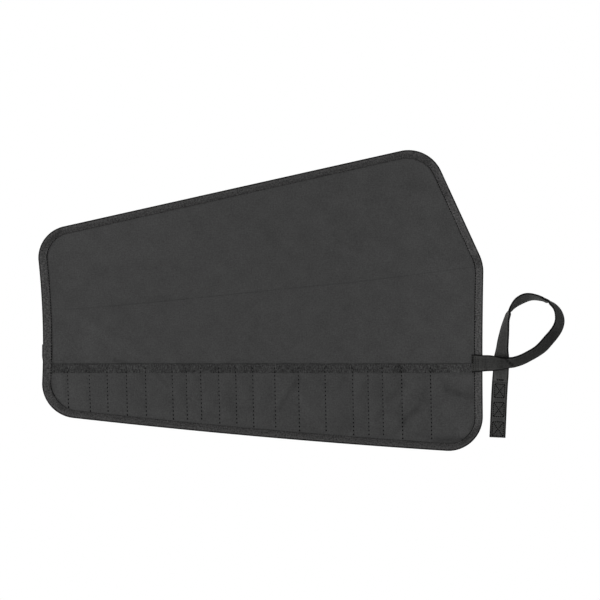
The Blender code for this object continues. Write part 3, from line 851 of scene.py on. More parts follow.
def sheet_area(x, y, z):
    """The area of a grid of points."""
    grid = np.stack((x, y, z), axis=-1)
    right, down = grid[:, 1:] - grid[:, :-1], grid[1:] - grid[:-1]
    return float(np.linalg.norm(np.cross(right[:-1], down[:, :-1]), axis=-1).sum())


def sheet_sides(x, y, z):
    """The length of a grid's longest row, and that of its longest column."""
    grid = np.stack((x, y, z), axis=-1)
    width = np.linalg.norm(np.diff(grid, axis=1), axis=-1).sum(axis=1).max()
    length = np.linalg.norm(np.diff(grid, axis=0), axis=-1).sum(axis=0).max()
    return float(width), float(length)


def stitch_mesh():
    """One stitch a metre long and wide, modelled once: a short bar with rounded ends."""
    bpy.ops.object.select_all(action="DESELECT")
    bpy.ops.mesh.primitive_uv_sphere_add(
        segments=STITCH_SIDES, ring_count=STITCH_SIDES, radius=0.5)
    stitch = bpy.context.active_object
    bpy.ops.object.mode_set(mode="EDIT")
    bpy.ops.mesh.select_all(action="SELECT")
    bpy.ops.transform.rotate(value=math.pi / 2, orient_axis="Y", center_override=(0, 0, 0))
    bpy.ops.object.mode_set(mode="OBJECT")
    points = np.array([vert.co for vert in stitch.data.vertices])
    points[:, 0] = np.sign(points[:, 0]) * (2 * np.abs(points[:, 0])) ** STITCH_ROUND / 2
    faces = [list(face.vertices) for face in stitch.data.polygons]
    mesh = stitch.data
    bpy.data.objects.remove(stitch)
    bpy.data.meshes.remove(mesh)
    return points, faces


def sew(name, stitches, widths, height, material):
    """One joined mesh of stitches, each given as a middle, a half run and the cloth's face."""
    base, base_faces = stitch_mesh()
    points, faces = [], []
    widths = np.broadcast_to(widths, len(stitches)).tolist()
    for (middle, half_run, face), width in zip(stitches, widths):
        middle, half_run, face = Vector(middle), Vector(half_run), Vector(face).normalized()
        side = face.cross(half_run).normalized() * width
        basis = Matrix((half_run * 2, side, face * height)).transposed()
        offset = len(points) * len(base)
        points.append(base @ np.array(basis).T + np.array(middle))
        faces.extend([[corner + offset for corner in corners] for corners in base_faces])
    return new_piece(name, np.concatenate(points), faces, material)


def node_value(tree, operation, first, second=0.0):
    """A maths node's result, from sockets or numbers."""
    node = tree.nodes.new("ShaderNodeMath")
    node.operation = operation
    for socket, value in zip(node.inputs, (first, second)):
        if isinstance(value, bpy.types.NodeSocket):
            tree.links.new(value, socket)
        else:
            socket.default_value = value
    return node.outputs[0]


def node_noise(tree, place, scale, stretch=(1.0, 1.0, 1.0), detail=2.0):
    """A noise texture's value between 0 and 1."""
    mapping = tree.nodes.new("ShaderNodeMapping")
    mapping.inputs["Scale"].default_value = stretch
    tree.links.new(place, mapping.inputs["Vector"])
    texture = tree.nodes.new("ShaderNodeTexNoise")
    texture.inputs["Scale"].default_value = scale
    texture.inputs["Detail"].default_value = detail
    tree.links.new(mapping.outputs[0], texture.inputs["Vector"])
    return texture.outputs[0]


def node_place(tree, follows):
    """Where a pattern is read: the piece's own weave map, or its place in metres."""
    if follows:
        node = tree.nodes.new("ShaderNodeUVMap")
        node.uv_map = "weave"
        return node.outputs[0]
    return tree.nodes.new("ShaderNodeTexCoord").outputs["Object"]


def basket_height(tree, place, along_pitch, across_pitch):
    """The height of a plain weave: threads over and under each other, from 0 to 1."""
    split = tree.nodes.new("ShaderNodeSeparateXYZ")
    tree.links.new(place, split.inputs[0])
    waves = []
    for socket, pitch in zip(split.outputs, (along_pitch, across_pitch)):
        angle = node_value(tree, "MULTIPLY", socket, math.pi / pitch)
        waves.append(node_value(tree, "SINE", angle))
    product = node_value(tree, "MULTIPLY", waves[0], waves[1])
    over = node_value(tree, "GREATER_THAN", product, 0.0)
    under = node_value(tree, "SUBTRACT", 1.0, over)
    first = node_value(tree, "MULTIPLY", over, node_value(tree, "ABSOLUTE", waves[0]))
    second = node_value(tree, "MULTIPLY", under, node_value(tree, "ABSOLUTE", waves[1]))
    return node_value(tree, "ADD", first, second)


def rib_height(tree, place, pitch, fill_pitch):
    """The height of a ribbed tape: ribs across it, and finer threads over each rib."""
    split = tree.nodes.new("ShaderNodeSeparateXYZ")
    tree.links.new(place, split.inputs[0])
    along = node_value(tree, "MULTIPLY", split.outputs[0], math.pi / pitch)
    across = node_value(tree, "MULTIPLY", split.outputs[1], 2 * math.pi / fill_pitch)
    ribs = node_value(tree, "ABSOLUTE", node_value(tree, "SINE", along))
    threads = node_value(tree, "MULTIPLY", node_value(tree, "SINE", across), FILL_HEIGHT)
    return node_value(tree, "ADD", ribs, threads)


def scaled_colour(tree, value, base):
    """The base colour made darker or lighter by a value around 1."""
    scaled = tree.nodes.new("ShaderNodeVectorMath")
    scaled.operation = "SCALE"
    scaled.inputs[0].default_value = base
    tree.links.new(value, scaled.inputs["Scale"])
    return scaled.outputs[0]


# Each finish: its roughness and gloss, its weave's pattern, pitches and relief, whether it
# follows the piece's own weave map, the stretches of its two streaks, and how much the weave,
# the streaks, the clouds and the grain change its shade.
Finish = namedtuple("Finish", "roughness specular pattern pitches relief follows streaks shades")
FINISHES = {
    "canvas": Finish(
        roughness=0.80, specular=0.22, pattern=basket_height, pitches=(0.00062, 0.00062),
        relief=0.00010, follows=False,
        streaks=((110.0, 800.0, 1.0), (800.0, 110.0, 1.0)), shades=(0.20, 0.34, 0.42, 0.62)),
    "edge_tape": Finish(
        roughness=0.75, specular=0.16, pattern=rib_height, pitches=(0.00105, 0.0007),
        relief=0.00022, follows=True,
        streaks=((850.0, 420.0, 1.0), (480.0, 300.0, 1.0)), shades=(0.25, 2.00, 0.50, 1.60)),
    "mouth_tape": Finish(
        roughness=0.75, specular=0.16, pattern=rib_height, pitches=(0.00105, 0.0007),
        relief=0.00020, follows=True,
        streaks=((1200.0, 170.0, 1.0), (700.0, 180.0, 1.0)), shades=(0.25, 2.40, 1.30, 2.20)),
    "strap": Finish(
        roughness=0.72, specular=0.10, pattern=basket_height, pitches=(0.0011, 0.0018),
        relief=0.00020, follows=True,
        streaks=((60.0, 700.0, 1.0), (700.0, 120.0, 1.0)), shades=(0.25, 0.80, 0.50, 0.90)),
    "hook_tape": Finish(
        roughness=0.65, specular=0.12, pattern=basket_height, pitches=(0.0009, 0.0009),
        relief=0.00012, follows=True,
        streaks=((300.0, 300.0, 1.0), (120.0, 500.0, 1.0)), shades=(0.20, 0.50, 0.40, 0.90)),
}


def cloth_material(name, base, finish):
    """A woven finish: the weave's relief, streaks in its threads and slow changes of shade."""
    material = bpy.data.materials.new(name)
    material.use_nodes = True
    material.diffuse_color = (*base, 1.0)
    tree = material.node_tree
    shader = tree.nodes["Principled BSDF"]
    shader.inputs["Specular IOR Level"].default_value = finish.specular
    shader.inputs["Metallic"].default_value = 0.0
    place = node_place(tree, finish.follows)
    height = finish.pattern(tree, place, *finish.pitches)
    streaks = node_value(tree, "ADD", *[node_noise(tree, place, 1.0, row) for row in finish.streaks])
    clouds = node_noise(tree, place, CLOUD_SCALE, detail=4.0)
    grain = node_noise(tree, place, GRAIN_SCALE, detail=1.0)
    of_height, of_streaks, of_clouds, of_grain = finish.shades
    shade = node_value(tree, "MULTIPLY", height, of_height)
    for texture, amount in ((streaks, of_streaks), (clouds, of_clouds), (grain, of_grain)):
        shade = node_value(tree, "ADD", shade, node_value(tree, "MULTIPLY", texture, amount))
    middle = MEAN_HEIGHT * of_height + of_streaks + 0.5 * (of_clouds + of_grain)
    shade = node_value(tree, "SUBTRACT", shade, middle - 1.0)
    # the tone attribute multiplies in each piece's painted light and shade as well as its own tone
    tone = tree.nodes.new("ShaderNodeAttribute")
    tone.attribute_name = "tone"
    shade = node_value(tree, "MULTIPLY", shade, tone.outputs["Fac"])
    tree.links.new(scaled_colour(tree, shade, base), shader.inputs["Base Color"])
    gloss = tree.nodes.new("ShaderNodeMapRange")
    tree.links.new(grain, gloss.inputs["Value"])
    gloss.inputs["To Min"].default_value = finish.roughness + GLOSS_SPREAD
    gloss.inputs["To Max"].default_value = finish.roughness - GLOSS_SPREAD
    tree.links.new(gloss.outputs[0], shader.inputs["Roughness"])
    bump = tree.nodes.new("ShaderNodeBump")
    bump.inputs["Strength"].default_value = BUMP_STRENGTH
    bump.inputs["Distance"].default_value = finish.relief
    raised = node_value(tree, "MULTIPLY", streaks, STREAK_HEIGHT)
    relief = node_value(tree, "ADD", height, raised)
    tree.links.new(relief, bump.inputs["Height"])
    tree.links.new(bump.outputs[0], shader.inputs["Normal"])
    return material


def thread_material(name, base, gloss):
    """Twisted thread, with a slight gloss where it lies in the light."""
    material = bpy.data.materials.new(name)
    material.use_nodes = True
    material.diffuse_color = (*base, 1.0)
    tree = material.node_tree
    shader = tree.nodes["Principled BSDF"]
    shader.inputs["Specular IOR Level"].default_value = gloss
    shader.inputs["Roughness"].default_value = THREAD_ROUGHNESS
    place = node_place(tree, False)
    twist = node_value(tree, "ADD", node_noise(tree, place, TWIST_SCALE, detail=0.0), 0.5)
    tree.links.new(scaled_colour(tree, twist, base), shader.inputs["Base Color"])
    return material


def shared_material(key):
    """A finish made when it is first needed."""
    name = "pouch_" + key
    if name in bpy.data.materials:
        return bpy.data.materials[name]
    base = tuple(getattr(bpy.context.scene.tool_pouch_colours, key))
    if key in FINISHES:
        return cloth_material(name, base, FINISHES[key])
    return thread_material(name, base, THREAD_GLOSS[key])


def stack_top(sizes, y):
    """The top of the layers that the edge tape closes over, at each height up the panel."""
    mouth = mouth_y(sizes)
    layer = sizes.cloth + sizes.layer_gap
    flap = sizes.rim_level + sizes.cloth
    pocket = smooth((mouth + STEP_RUN - y) / STEP_RUN)
    band = pocket * smooth((y - mouth + sizes.mouth_tape_width + STEP_RUN) / STEP_RUN)
    return flap + layer * pocket + 2 * (sizes.tape + sizes.layer_gap) * band


def tape_sections(sizes, threads, outline, order, lifted, tucked):
    """The folded tape's section at each station, as distances inwards and heights."""
    laps = outline.laps[order]
    along = outline.along[order]
    pressed = stack_top(sizes, outline.points[order, 1]) + sizes.layer_gap + sizes.tape
    below_mouth = smooth((mouth_y(sizes) + STEP_RUN - outline.points[order, 1]) / STEP_RUN)
    crown = EDGE_HIGH.z - CROWN_DROP - CROWN_STEP * (1 - below_mouth)
    crown = np.maximum(crown, pressed + LEAST_CROWN) + lifted
    pressed = pressed + lifted
    low = TAPE_FLOOR + TUCK_RISE * tucked
    round_out = (crown - low) / 2
    dimple = STITCH_DIMPLE * (0.5 + 0.5 * np.cos(2 * math.pi * along / threads.edge_pitch))
    drift = PUCKER_DRIFT * np.sin(along / DRIFT_LENGTH)
    pucker = outline.bends[order] * PUCKER * np.sin(2 * math.pi * along / PUCKER_LENGTH + drift)
    waves = [noise.noise(Vector((a / ROLL_LENGTH, ROLL_SEED, 0.0))) for a in along]
    roll = TAPE_ROLL * np.array(waves)
    stitch_at = laps - threads.edge_inset
    columns = [(laps * LEG_END, low), (laps * LEG_MIDDLE, low), (round_out * LEG_START, low)]
    for angle in OUTER_ANGLES:
        turn = math.radians(angle)
        inward = round_out * ROUND_DEPTH * (1 - math.cos(turn))
        columns.append((inward, low + round_out * (1 + math.sin(turn))))
    columns.append((round_out * CROWN_PLACE, crown + roll))
    for row in SLOPE_ROWS:
        fallen = crown - (crown - pressed) * row.fall
        columns.append((row.inward + laps * row.share, fallen + roll + pucker * row.pucker))
    flat_rows = (
        (stitch_at - BEFORE_STITCH, SWELL_BEFORE, 0.8),
        (stitch_at, -dimple, 0.0),
        (stitch_at + PAST_STITCH, SWELL_PAST, 0.5),
        (laps - RIM, RIM_SWELL, 1.0),
        (laps, -sizes.tape / 2, 1.0),
    )
    for place, rise, gathered in flat_rows:
        columns.append((place, pressed + rise + pucker * gathered))
    for inward, height in columns[-2:-7:-1]:
        columns.append((inward - INNER_STEP, height - sizes.tape))
    inner = round_out - sizes.tape
    for angle in INNER_ANGLES:
        turn = math.radians(angle)
        inward = sizes.tape + inner * ROUND_DEPTH * (1 - math.cos(turn))
        columns.append((inward, low + round_out + inner * math.sin(turn)))
    columns.append((laps * LEG_MIDDLE, low + sizes.tape))
    columns.append((laps * LEG_END, low + sizes.tape))
    inward = np.stack([column[0] for column in columns], axis=1)
    height = np.stack([column[1] for column in columns], axis=1)
    return inward, height


def lap_lift(sizes, reached):
    """How far the edge tape's upper end is lifted by its lower one, at lengths from the end."""
    let_down = smooth((reached / OVERLAP_LENGTH - OVERLAP_HOLD) / (1 - OVERLAP_HOLD))
    return (1 - let_down) * (sizes.tape + sizes.layer_gap)


class POUCH_OT_stage(bpy.types.Operator):
    """Set up the white floor, the soft studio light and the camera above the pouch"""

    bl_idname = "tool_pouch.stage"
    bl_label = "Stage"
    bl_options = {"REGISTER", "UNDO"}

    camera_height: bpy.props.FloatProperty(
        name="Camera height", description="Height of the camera above the floor", default=4.0,
        unit="LENGTH")
    lens: bpy.props.FloatProperty(
        name="Lens", description="Focal length in millimetres", default=180.0)
    aim_x: bpy.props.FloatProperty(
        name="Aim X", description="Where the camera points along X", default=0.0521,
        unit="LENGTH")
    aim_y: bpy.props.FloatProperty(
        name="Aim Y", description="Where the camera points along Y", default=0.0005,
        unit="LENGTH")

    def execute(self, context):
        bpy.ops.object.select_all(action="DESELECT")
        bpy.ops.object.camera_add(location=(self.aim_x, self.aim_y, self.camera_height))
        camera = context.active_object
        camera.name = "camera"
        camera.rotation_euler = (0.0, 0.0, 0.0)
        camera.data.lens = self.lens
        camera.data.clip_end = CAMERA_REACH
        context.scene.camera = camera
        self.add_floor(context.scene.tool_pouch_colours.floor)
        for light in LIGHTS:
            self.add_light(light)
        self.add_surround(context.scene)
        context.scene.view_settings.view_transform = "Standard"
        context.scene.view_settings.look = "None"
        return {"FINISHED"}

    def add_floor(self, pale):
        """A wide pale surface, which the camera sees evenly white."""
        bpy.ops.mesh.primitive_plane_add(size=FLOOR_SIZE, location=(0.0, 0.0, 0.0))
        floor = bpy.context.active_object
        floor.name = "floor"
        material = bpy.data.materials.new("floor")
        material.use_nodes = True
        tree = material.node_tree
        shader = tree.nodes["Principled BSDF"]
        shader.inputs["Base Color"].default_value = (*pale, 1.0)
        shader.inputs["Roughness"].default_value = FLOOR_ROUGHNESS
        shader.inputs["Specular IOR Level"].default_value = 0.0
        white = tree.nodes.new("ShaderNodeEmission")
        self.show_to_camera(tree, shader, white, tree.nodes["Material Output"])
        floor.data.materials.append(material)

    def add_light(self, light):
        """A large soft panel light that faces the pouch."""
        aim = (-Vector(light.place)).to_track_quat("-Z", "Y").to_euler()
        bpy.ops.object.light_add(type="AREA", location=light.place, rotation=aim)
        lamp = bpy.context.active_object
        lamp.name = light.name
        lamp.data.shape = "RECTANGLE"
        lamp.data.size, lamp.data.size_y = light.size
        lamp.data.energy = light.power
        lamp.visible_camera = False

    def add_surround(self, scene):
        """A dim surround that fills the shadows, and that the camera sees as white."""
        world = bpy.data.worlds.new("surround")
        world.use_nodes = True
        tree = world.node_tree
        fill = tree.nodes["Background"]
        fill.inputs["Color"].default_value = (1.0, 1.0, 1.0, 1.0)
        fill.inputs["Strength"].default_value = SURROUND_STRENGTH
        white = tree.nodes.new("ShaderNodeBackground")
        white.inputs["Color"].default_value = (1.0, 1.0, 1.0, 1.0)
        self.show_to_camera(tree, fill, white, tree.nodes["World Output"])
        scene.world = world

    def show_to_camera(self, tree, lit, white, output):
        """Let the camera see the white shader, and all other rays the lit one."""
        rays = tree.nodes.new("ShaderNodeLightPath")
        mix = tree.nodes.new("ShaderNodeMixShader")
        tree.links.new(rays.outputs["Is Camera Ray"], mix.inputs[0])
        tree.links.new(lit.outputs[0], mix.inputs[1])
        tree.links.new(white.outputs[0], mix.inputs[2])
        tree.links.new(mix.outputs[0], output.inputs["Surface"])


class POUCH_OT_tie_strap(bpy.types.Operator):
    """Make the webbing strap, the hook tape on its free end and their stitches"""

    bl_idname = "tool_pouch.tie_strap"
    bl_label = "Tie strap"
    bl_options = {"REGISTER", "UNDO"}

    def execute(self, context):
        sizes = context.scene.tool_pouch_sizes
        strap_sizes = context.scene.tool_pouch_strap
        threads = context.scene.tool_pouch_threads
        frames = self.frames(sizes, strap_sizes)
        strap = self.add_ribbon(
            "strap", frames, strap_sizes.width, strap_sizes.thickness, 0.0,
            shared_material("strap"), STRAP_SHEEN_AND_SHADE)
        patch = self.add_patch(frames, strap_sizes)
        hooks = self.add_hooks(frames, strap_sizes)
        stitches = self.add_stitches(frames, strap_sizes, threads)
        for piece, slot in ((strap, "strap_webbing"), (patch, "hook_tape"), (hooks, "hook_tape"),
                            (stitches, "strap_webbing")):
            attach(piece, "root")
        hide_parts("tie_strap")
        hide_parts("hook_patch")
        tuple(frames[0].centre)
        [tuple(row.centre) for row in frames]
        return {"FINISHED"}

    def frames(self, sizes, strap_sizes):
        """The strap's middle, its directions and the length reached, at each step."""
        outline = Outline(sizes, FINE_SPACING)
        right = crossings(outline.points, mouth_y(sizes), 1).max()
        pouch_level = EDGE_HIGH.z + STRAP_GAP
        own = []
        for row in ROUTE:
            lift = row.on_pouch * pouch_level + row.on_strap * strap_sizes.width
            own.append((right + row.along, mouth_y(sizes) + row.up, lift, row.twist))
        own = np.array(own)
        padded = np.concatenate((own[:1], own, own[-1:]))
        rows = []
        for before, start, end, after in zip(padded, padded[1:], padded[2:], padded[3:]):
            for share in np.arange(STRAP_STEPS) / STRAP_STEPS:
                value = 2 * start + (end - before) * share
                value += (2 * before - 5 * start + 4 * end - after) * share ** 2
                value += (3 * start - before - 3 * end + after) * share ** 3
                rows.append(value / 2)
        rows.append(own[-1])
        for row in rows:
            past = row[3] - UPRIGHT
            fading = math.exp(-(past / QUICK_REACH) ** 2)
            row[3] = math.radians(row[3] + QUICK_TURN * math.tanh(past / QUICK_START) * fading)
        return self.frames_from_rows(rows, strap_sizes)

    def frames_from_rows(self, rows, strap_sizes):
        """Frames from rows of x, y, lift and twist."""
        frames = []
        up = Vector((0.0, 0.0, 1.0))
        reached = 0.0
        for index, (x, y, lift, twist) in enumerate(rows):
            before, after = rows[max(index - 1, 0)], rows[min(index + 1, len(rows) - 1)]
            ahead = Vector((after[0] - before[0], after[1] - before[1], 0.0)).normalized()
            left = Vector((-ahead.y, ahead.x, 0.0))
            across = left * math.cos(twist) + up * math.sin(twist)
            face = up * math.cos(twist) - left * math.sin(twist)
            half = strap_sizes.width / 2 * abs(across.z) + strap_sizes.thickness / 2 * abs(face.z)
            centre = Vector((x, y, max(lift, 0.0) + half + STRAP_FLOOR))
            if frames:
                reached += (centre - frames[-1].centre).length
            frames.append(StrapFrame(centre, across, face, ahead, reached))
        return frames

    def add_ribbon(self, name, frames, width, thickness, offset, material, tone_and_painted_light):
        """A woven band along the frames, with firm rounded edges, cupped where it turns over."""
        profile = [(-1.0, 0.0)]
        for share in RIBBON_SHARES:
            inside = abs(share) < SELVEDGE
            hollow = RIBBON_HOLLOW * (1 - share ** HOLLOW_EASE) if inside else 0.0
            profile.append((share, 1.0 - hollow))
        profile.append((1.0, 0.0))
        profile += [(share, -high) for share, high in profile[-2:0:-1]]
        points, weave, tone = [], [], []
        for row in frames:
            upright = math.exp(-(row.face.z / CUP_REACH) ** 2)
            half = thickness / 2 * (1 + TURN_SWELL * upright)
            # painted light and shade along the band
            shade = float(np.interp(row.along, *tone_and_painted_light))
            half_width = width / 2 * (1 + ROOT_FLARE * (1 - smooth(row.along / ROOT_RUN)))
            for share, high in profile:
                rise = offset + half * high + CUP * upright * (1 - share ** 2)
                points.append(row.centre + row.across * (half_width * share) + row.face * rise)
                weave.append((row.along, width / 2 * share))
                away = (row.along - np.interp(share, *KINK)) / KINK_WIDTH
                kink = 1 - KINK_SHADE * math.exp(-away ** 2) * (KINK[0][0] <= share <= KINK[0][1])
                # painted shade on the rounded edges and in the kink
                tone.append(float(np.interp(abs(share), *SELVEDGE_AND_EDGE_SHADE) * shade * kink))
        return new_piece(name, points, loft_faces(len(frames), len(profile)), material, weave, tone)

    def free_end(self, frames, length):
        """The frames within a length of the cut end, and one more exactly there."""
        total = frames[-1].along
        near = [row for row in frames if total - row.along < length]
        before = frames[len(frames) - len(near) - 1]
        share = (total - length - before.along) / (near[0].along - before.along)
        mixed = [a.lerp(b, share) for a, b in zip(before[:4], near[0][:4])]
        return [StrapFrame(*mixed, total - length)] + near

    def at(self, frames, back):
        """The frame a distance back from the cut end."""
        return self.free_end(frames, back)[0]

    def add_patch(self, frames, strap_sizes):
        """The hook tape's base."""
        near = self.free_end(frames, strap_sizes.patch_length)
        offset = strap_sizes.thickness / 2 + strap_sizes.patch_thickness / 2 + STRAP_LAYER
        total = frames[-1].along
        tone_and_painted_light = [(total, 1.0)]
        for box in BOX_STITCHES:
            backs = (box.near, box.near + BOX_RIM, box.far - BOX_RIM, box.far)
            tone_and_painted_light += [(total - back, shade) for back, shade in zip(backs, BOX_TONE)]
        tone_and_painted_light.append((total - strap_sizes.patch_length + PATCH_RIM, BOX_TONE[0]))
        # painted shadow along the hook tape's upper edge
        tone_and_painted_light.append((total - strap_sizes.patch_length, PATCH_END_SHADOW))
        return self.add_ribbon(
            "hook_tape", near, strap_sizes.patch_width, strap_sizes.patch_thickness, offset,
            shared_material("hook_tape"), list(zip(*tone_and_painted_light[::-1])))

    def add_hooks(self, frames, strap_sizes):
        """Rows of small bent hooks over the tape's middle, left off where the thread runs."""
        pitch, height = strap_sizes.hook_pitch, strap_sizes.hook_height
        half = strap_sizes.patch_width / 2 - HOOK_SELVEDGE
        base = strap_sizes.thickness / 2 + STRAP_LAYER + strap_sizes.patch_thickness * HOOK_SINK
        ring = [(math.cos(a), math.sin(a)) for a in np.linspace(0, 2 * math.pi, 5)[:-1]]
        points, faces = [], []
        for line, back in enumerate(np.arange(pitch, strap_sizes.patch_length - pitch, pitch)):
            row = self.at(frames, back)
            for across in np.arange(-half + pitch / 2 * (line % 2), half, pitch):
                if self.near_thread(back, across):
                    continue
                first = len(points)
                for lean, rise in HOOK_BEND:
                    middle = row.centre + row.across * across + row.face * (base + rise * height)
                    middle = middle + row.ahead * (lean * height * (1 if line % 2 else -1))
                    for a, b in ring:
                        points.append(middle + (row.across * a + row.ahead * b) * HOOK_WIRE)
                faces += [[first + corner for corner in face]
                          for face in loft_faces(len(HOOK_BEND), len(ring))]
        return new_piece("hook_rows", points, faces, shared_material("hook_tape"))

    def near_thread(self, back, across):
        """Whether a place on the free end lies under a box stitch's thread."""
        for box in BOX_STITCHES:
            half = box.width / 2
            middle = (box.near + box.far) / 2
            length = (box.far - box.near) / 2
            if abs(back - middle) > length + THREAD_CLEAR or abs(across) > half + THREAD_CLEAR:
                continue
            on_side = length - abs(back - middle) < THREAD_CLEAR or half - abs(across) < THREAD_CLEAR
            diagonal = abs(abs(back - middle) / length - abs(across) / half) * half
            if on_side or diagonal < THREAD_CLEAR:
                return True
        return False

    def add_stitches(self, frames, strap_sizes, threads):
        """The boxes with their crosses on the free end, and the bars at the sewn end, the first of which
        is painted shadow.
        """
        top = strap_sizes.thickness / 2 + STRAP_LAYER + strap_sizes.patch_thickness
        below = threads.thickness / 2 - strap_sizes.thickness / 2
        lines = []
        for box in BOX_STITCHES:
            half = box.width / 2
            corners = ((box.near, -half), (box.near, half), (box.far, half), (box.far, -half))
            lines += list(zip(corners, corners[1:] + corners[:1]))
            lines += [(corners[0], corners[2]), (corners[1], corners[3])]
        stitches = []
        for start, end in lines:
            stitches += self.row_of_stitches(frames, start, end, top, threads)
            stitches += self.row_of_stitches(frames, start, end, below, threads)
        widths = [threads.box_thickness] * len(stitches)
        back = strap_sizes.patch_length + PATCH_BAR_GAP
        bars = [((back, -PATCH_BAR / 2), (back, PATCH_BAR / 2), PATCH_BAR_WIDTH)]
        reach = strap_sizes.width / 2 - ROOT_INSET
        for bar in ROOT_BARS:
            back = frames[-1].along - bar.reach
            bars.append(((back, reach * bar.low), (back, reach), bar.width))
        for start, end, width in bars:
            row = self.row_of_stitches(frames, start, end, strap_sizes.thickness / 2, threads)
            stitches += row
            widths += [width] * len(row)
        return sew(
            "strap_stitches", stitches, widths, threads.thickness, shared_material("dark_thread"))

    def row_of_stitches(self, frames, start, end, level, threads):
        """Stitches along a straight line on the strap, from (back, across) to (back, across)."""
        start, end = np.array(start), np.array(end)
        count = max(2, round(float(np.linalg.norm(end - start)) / threads.box_pitch))
        stitches = []
        for index in range(count):
            middle = start + (end - start) * (index + 0.5) / count
            half = (end - start) / count * BOX_RUN
            row = self.at(frames, middle[0])
            place = row.centre + row.across * middle[1] + row.face * level
            run = row.ahead * -half[0] + row.across * half[1]
            stitches.append((place, run, row.face))
        return stitches


class POUCH_OT_back_cloth(bpy.types.Operator):
    """Make the canvas back panel, slack inside its tape, with its old fold line"""

    bl_idname = "tool_pouch.back_cloth"
    bl_label = "Back cloth"
    bl_options = {"REGISTER", "UNDO"}

    spacing: length_size("Spacing", "Distance between the cloth's columns", 0.0026)

    def execute(self, context):
        sizes = context.scene.tool_pouch_sizes
        outline = Outline(sizes, STATION_SPACING)
        line = outline.inset(sizes.tape * CLOTH_RIM)
        inner = outline.tape_line()
        left = (line[:, 0].min() + inner[:, 0].min()) / 2
        right = (line[:, 0].max() + inner[:, 0].max()) / 2
        count = round((right - left) / self.spacing)
        places = np.linspace(left, right, count)
        spans = [crossings(line, x, 0) for x in places]
        low = np.array([span.min() for span in spans])
        high = np.array([span.max() for span in spans])
        crease = np.clip(crease_y(sizes, places), low + 2 * CREASE_LINE, high - 2 * CREASE_LINE)
        rows = sizes.panel_depth / self.spacing
        above = np.linspace(0.0, 1.0, round(rows * ROWS_ABOVE_CREASE))[:, None]
        below = np.linspace(0.0, 1.0, round(rows * ROWS_BELOW_CREASE))[:, None]
        top, foot = crease + CREASE_LINE, crease - CREASE_LINE
        y = np.concatenate((high + (top - high) * above, crease[None], foot + (low - foot) * below))
        x = np.broadcast_to(places, y.shape).copy()
        # painted shade along the soft folds, and painted light over broad patches
        tone = 1 - fold_field(FLAP_FOLDS, x, y)[1]
        # painted shade along the old fold line, setting in from the left
        tone[len(above)] -= CREASE_SHADE * (0.5 + 0.5 * smooth((places - left) / CREASE_FADE))
        z = back_level(sizes, outline, x, y)
        area = sheet_area(x, y, z)
        cloth = new_cloth("back_cloth", x, y, z, sizes.cloth, tone)
        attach(cloth, "root")
        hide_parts("back_panel")
        made("edge_tape", "edge_stitches")
        return {"FINISHED"}


class POUCH_OT_pocket_cloth(bpy.types.Operator):
    """Make the pocket panel, arched over each pocket and sewn down between them"""

    bl_idname = "tool_pouch.pocket_cloth"
    bl_label = "Pocket cloth"
    bl_options = {"REGISTER", "UNDO"}

    column_spacing: length_size("Columns", "Distance between the cloth's columns", 0.0017)
    row_spacing: length_size("Rows", "Distance between the cloth's rows", 0.0013)

    def execute(self, context):
        sizes = context.scene.tool_pouch_sizes
        outline = Outline(sizes, STATION_SPACING)
        columns = self.with_hidden_edges(sizes, outline)
        depths = pocket_depths(sizes, outline, columns)
        edge = outline.inset(sizes.tape * CLOTH_RIM)
        places = columns.top + columns.lean
        feet = np.array([mouth_y(sizes) - crossings(edge, x, 0).min() for x in places])
        count = round(depths.max() / self.row_spacing)
        share = np.linspace(0.0, 1.0, count)[:, None]
        drops = np.concatenate((depths * share, (feet + depths)[None] / 2, feet[None]))
        x, y, z = pocket_surface(sizes, outline, columns, drops)
        area = sheet_area(x, y, z)
        width, length = sheet_sides(x, y, z)
        # painted shade along the soft folds, and painted light over broad patches
        tone = 1 - fold_field(POCKET_FOLDS, x, y)[1]
        cloth = new_cloth("pocket_cloth", x, y, z, sizes.cloth, tone)
        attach(cloth, "root")
        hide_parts("pocket_panel")
        made("mouth_tape", "mouth_stitches", "pocket_stitches",
                                  "pocket_needle_holes")
        return {"FINISHED"}

    def with_hidden_edges(self, sizes, outline):
        """The pocket's columns, with one more at each end that lies under the edge tape."""
        columns = pocket_columns(sizes, outline, self.column_spacing)
        found = crossings(outline.inset(sizes.tape * POCKET_RIM), mouth_y(sizes), 1)
        top = np.concatenate(([found.min()], columns.top, [found.max()]))
        ends = [np.concatenate((row[:1], row, row[-1:])) for row in columns[1:]]
        return Columns(top, *ends)


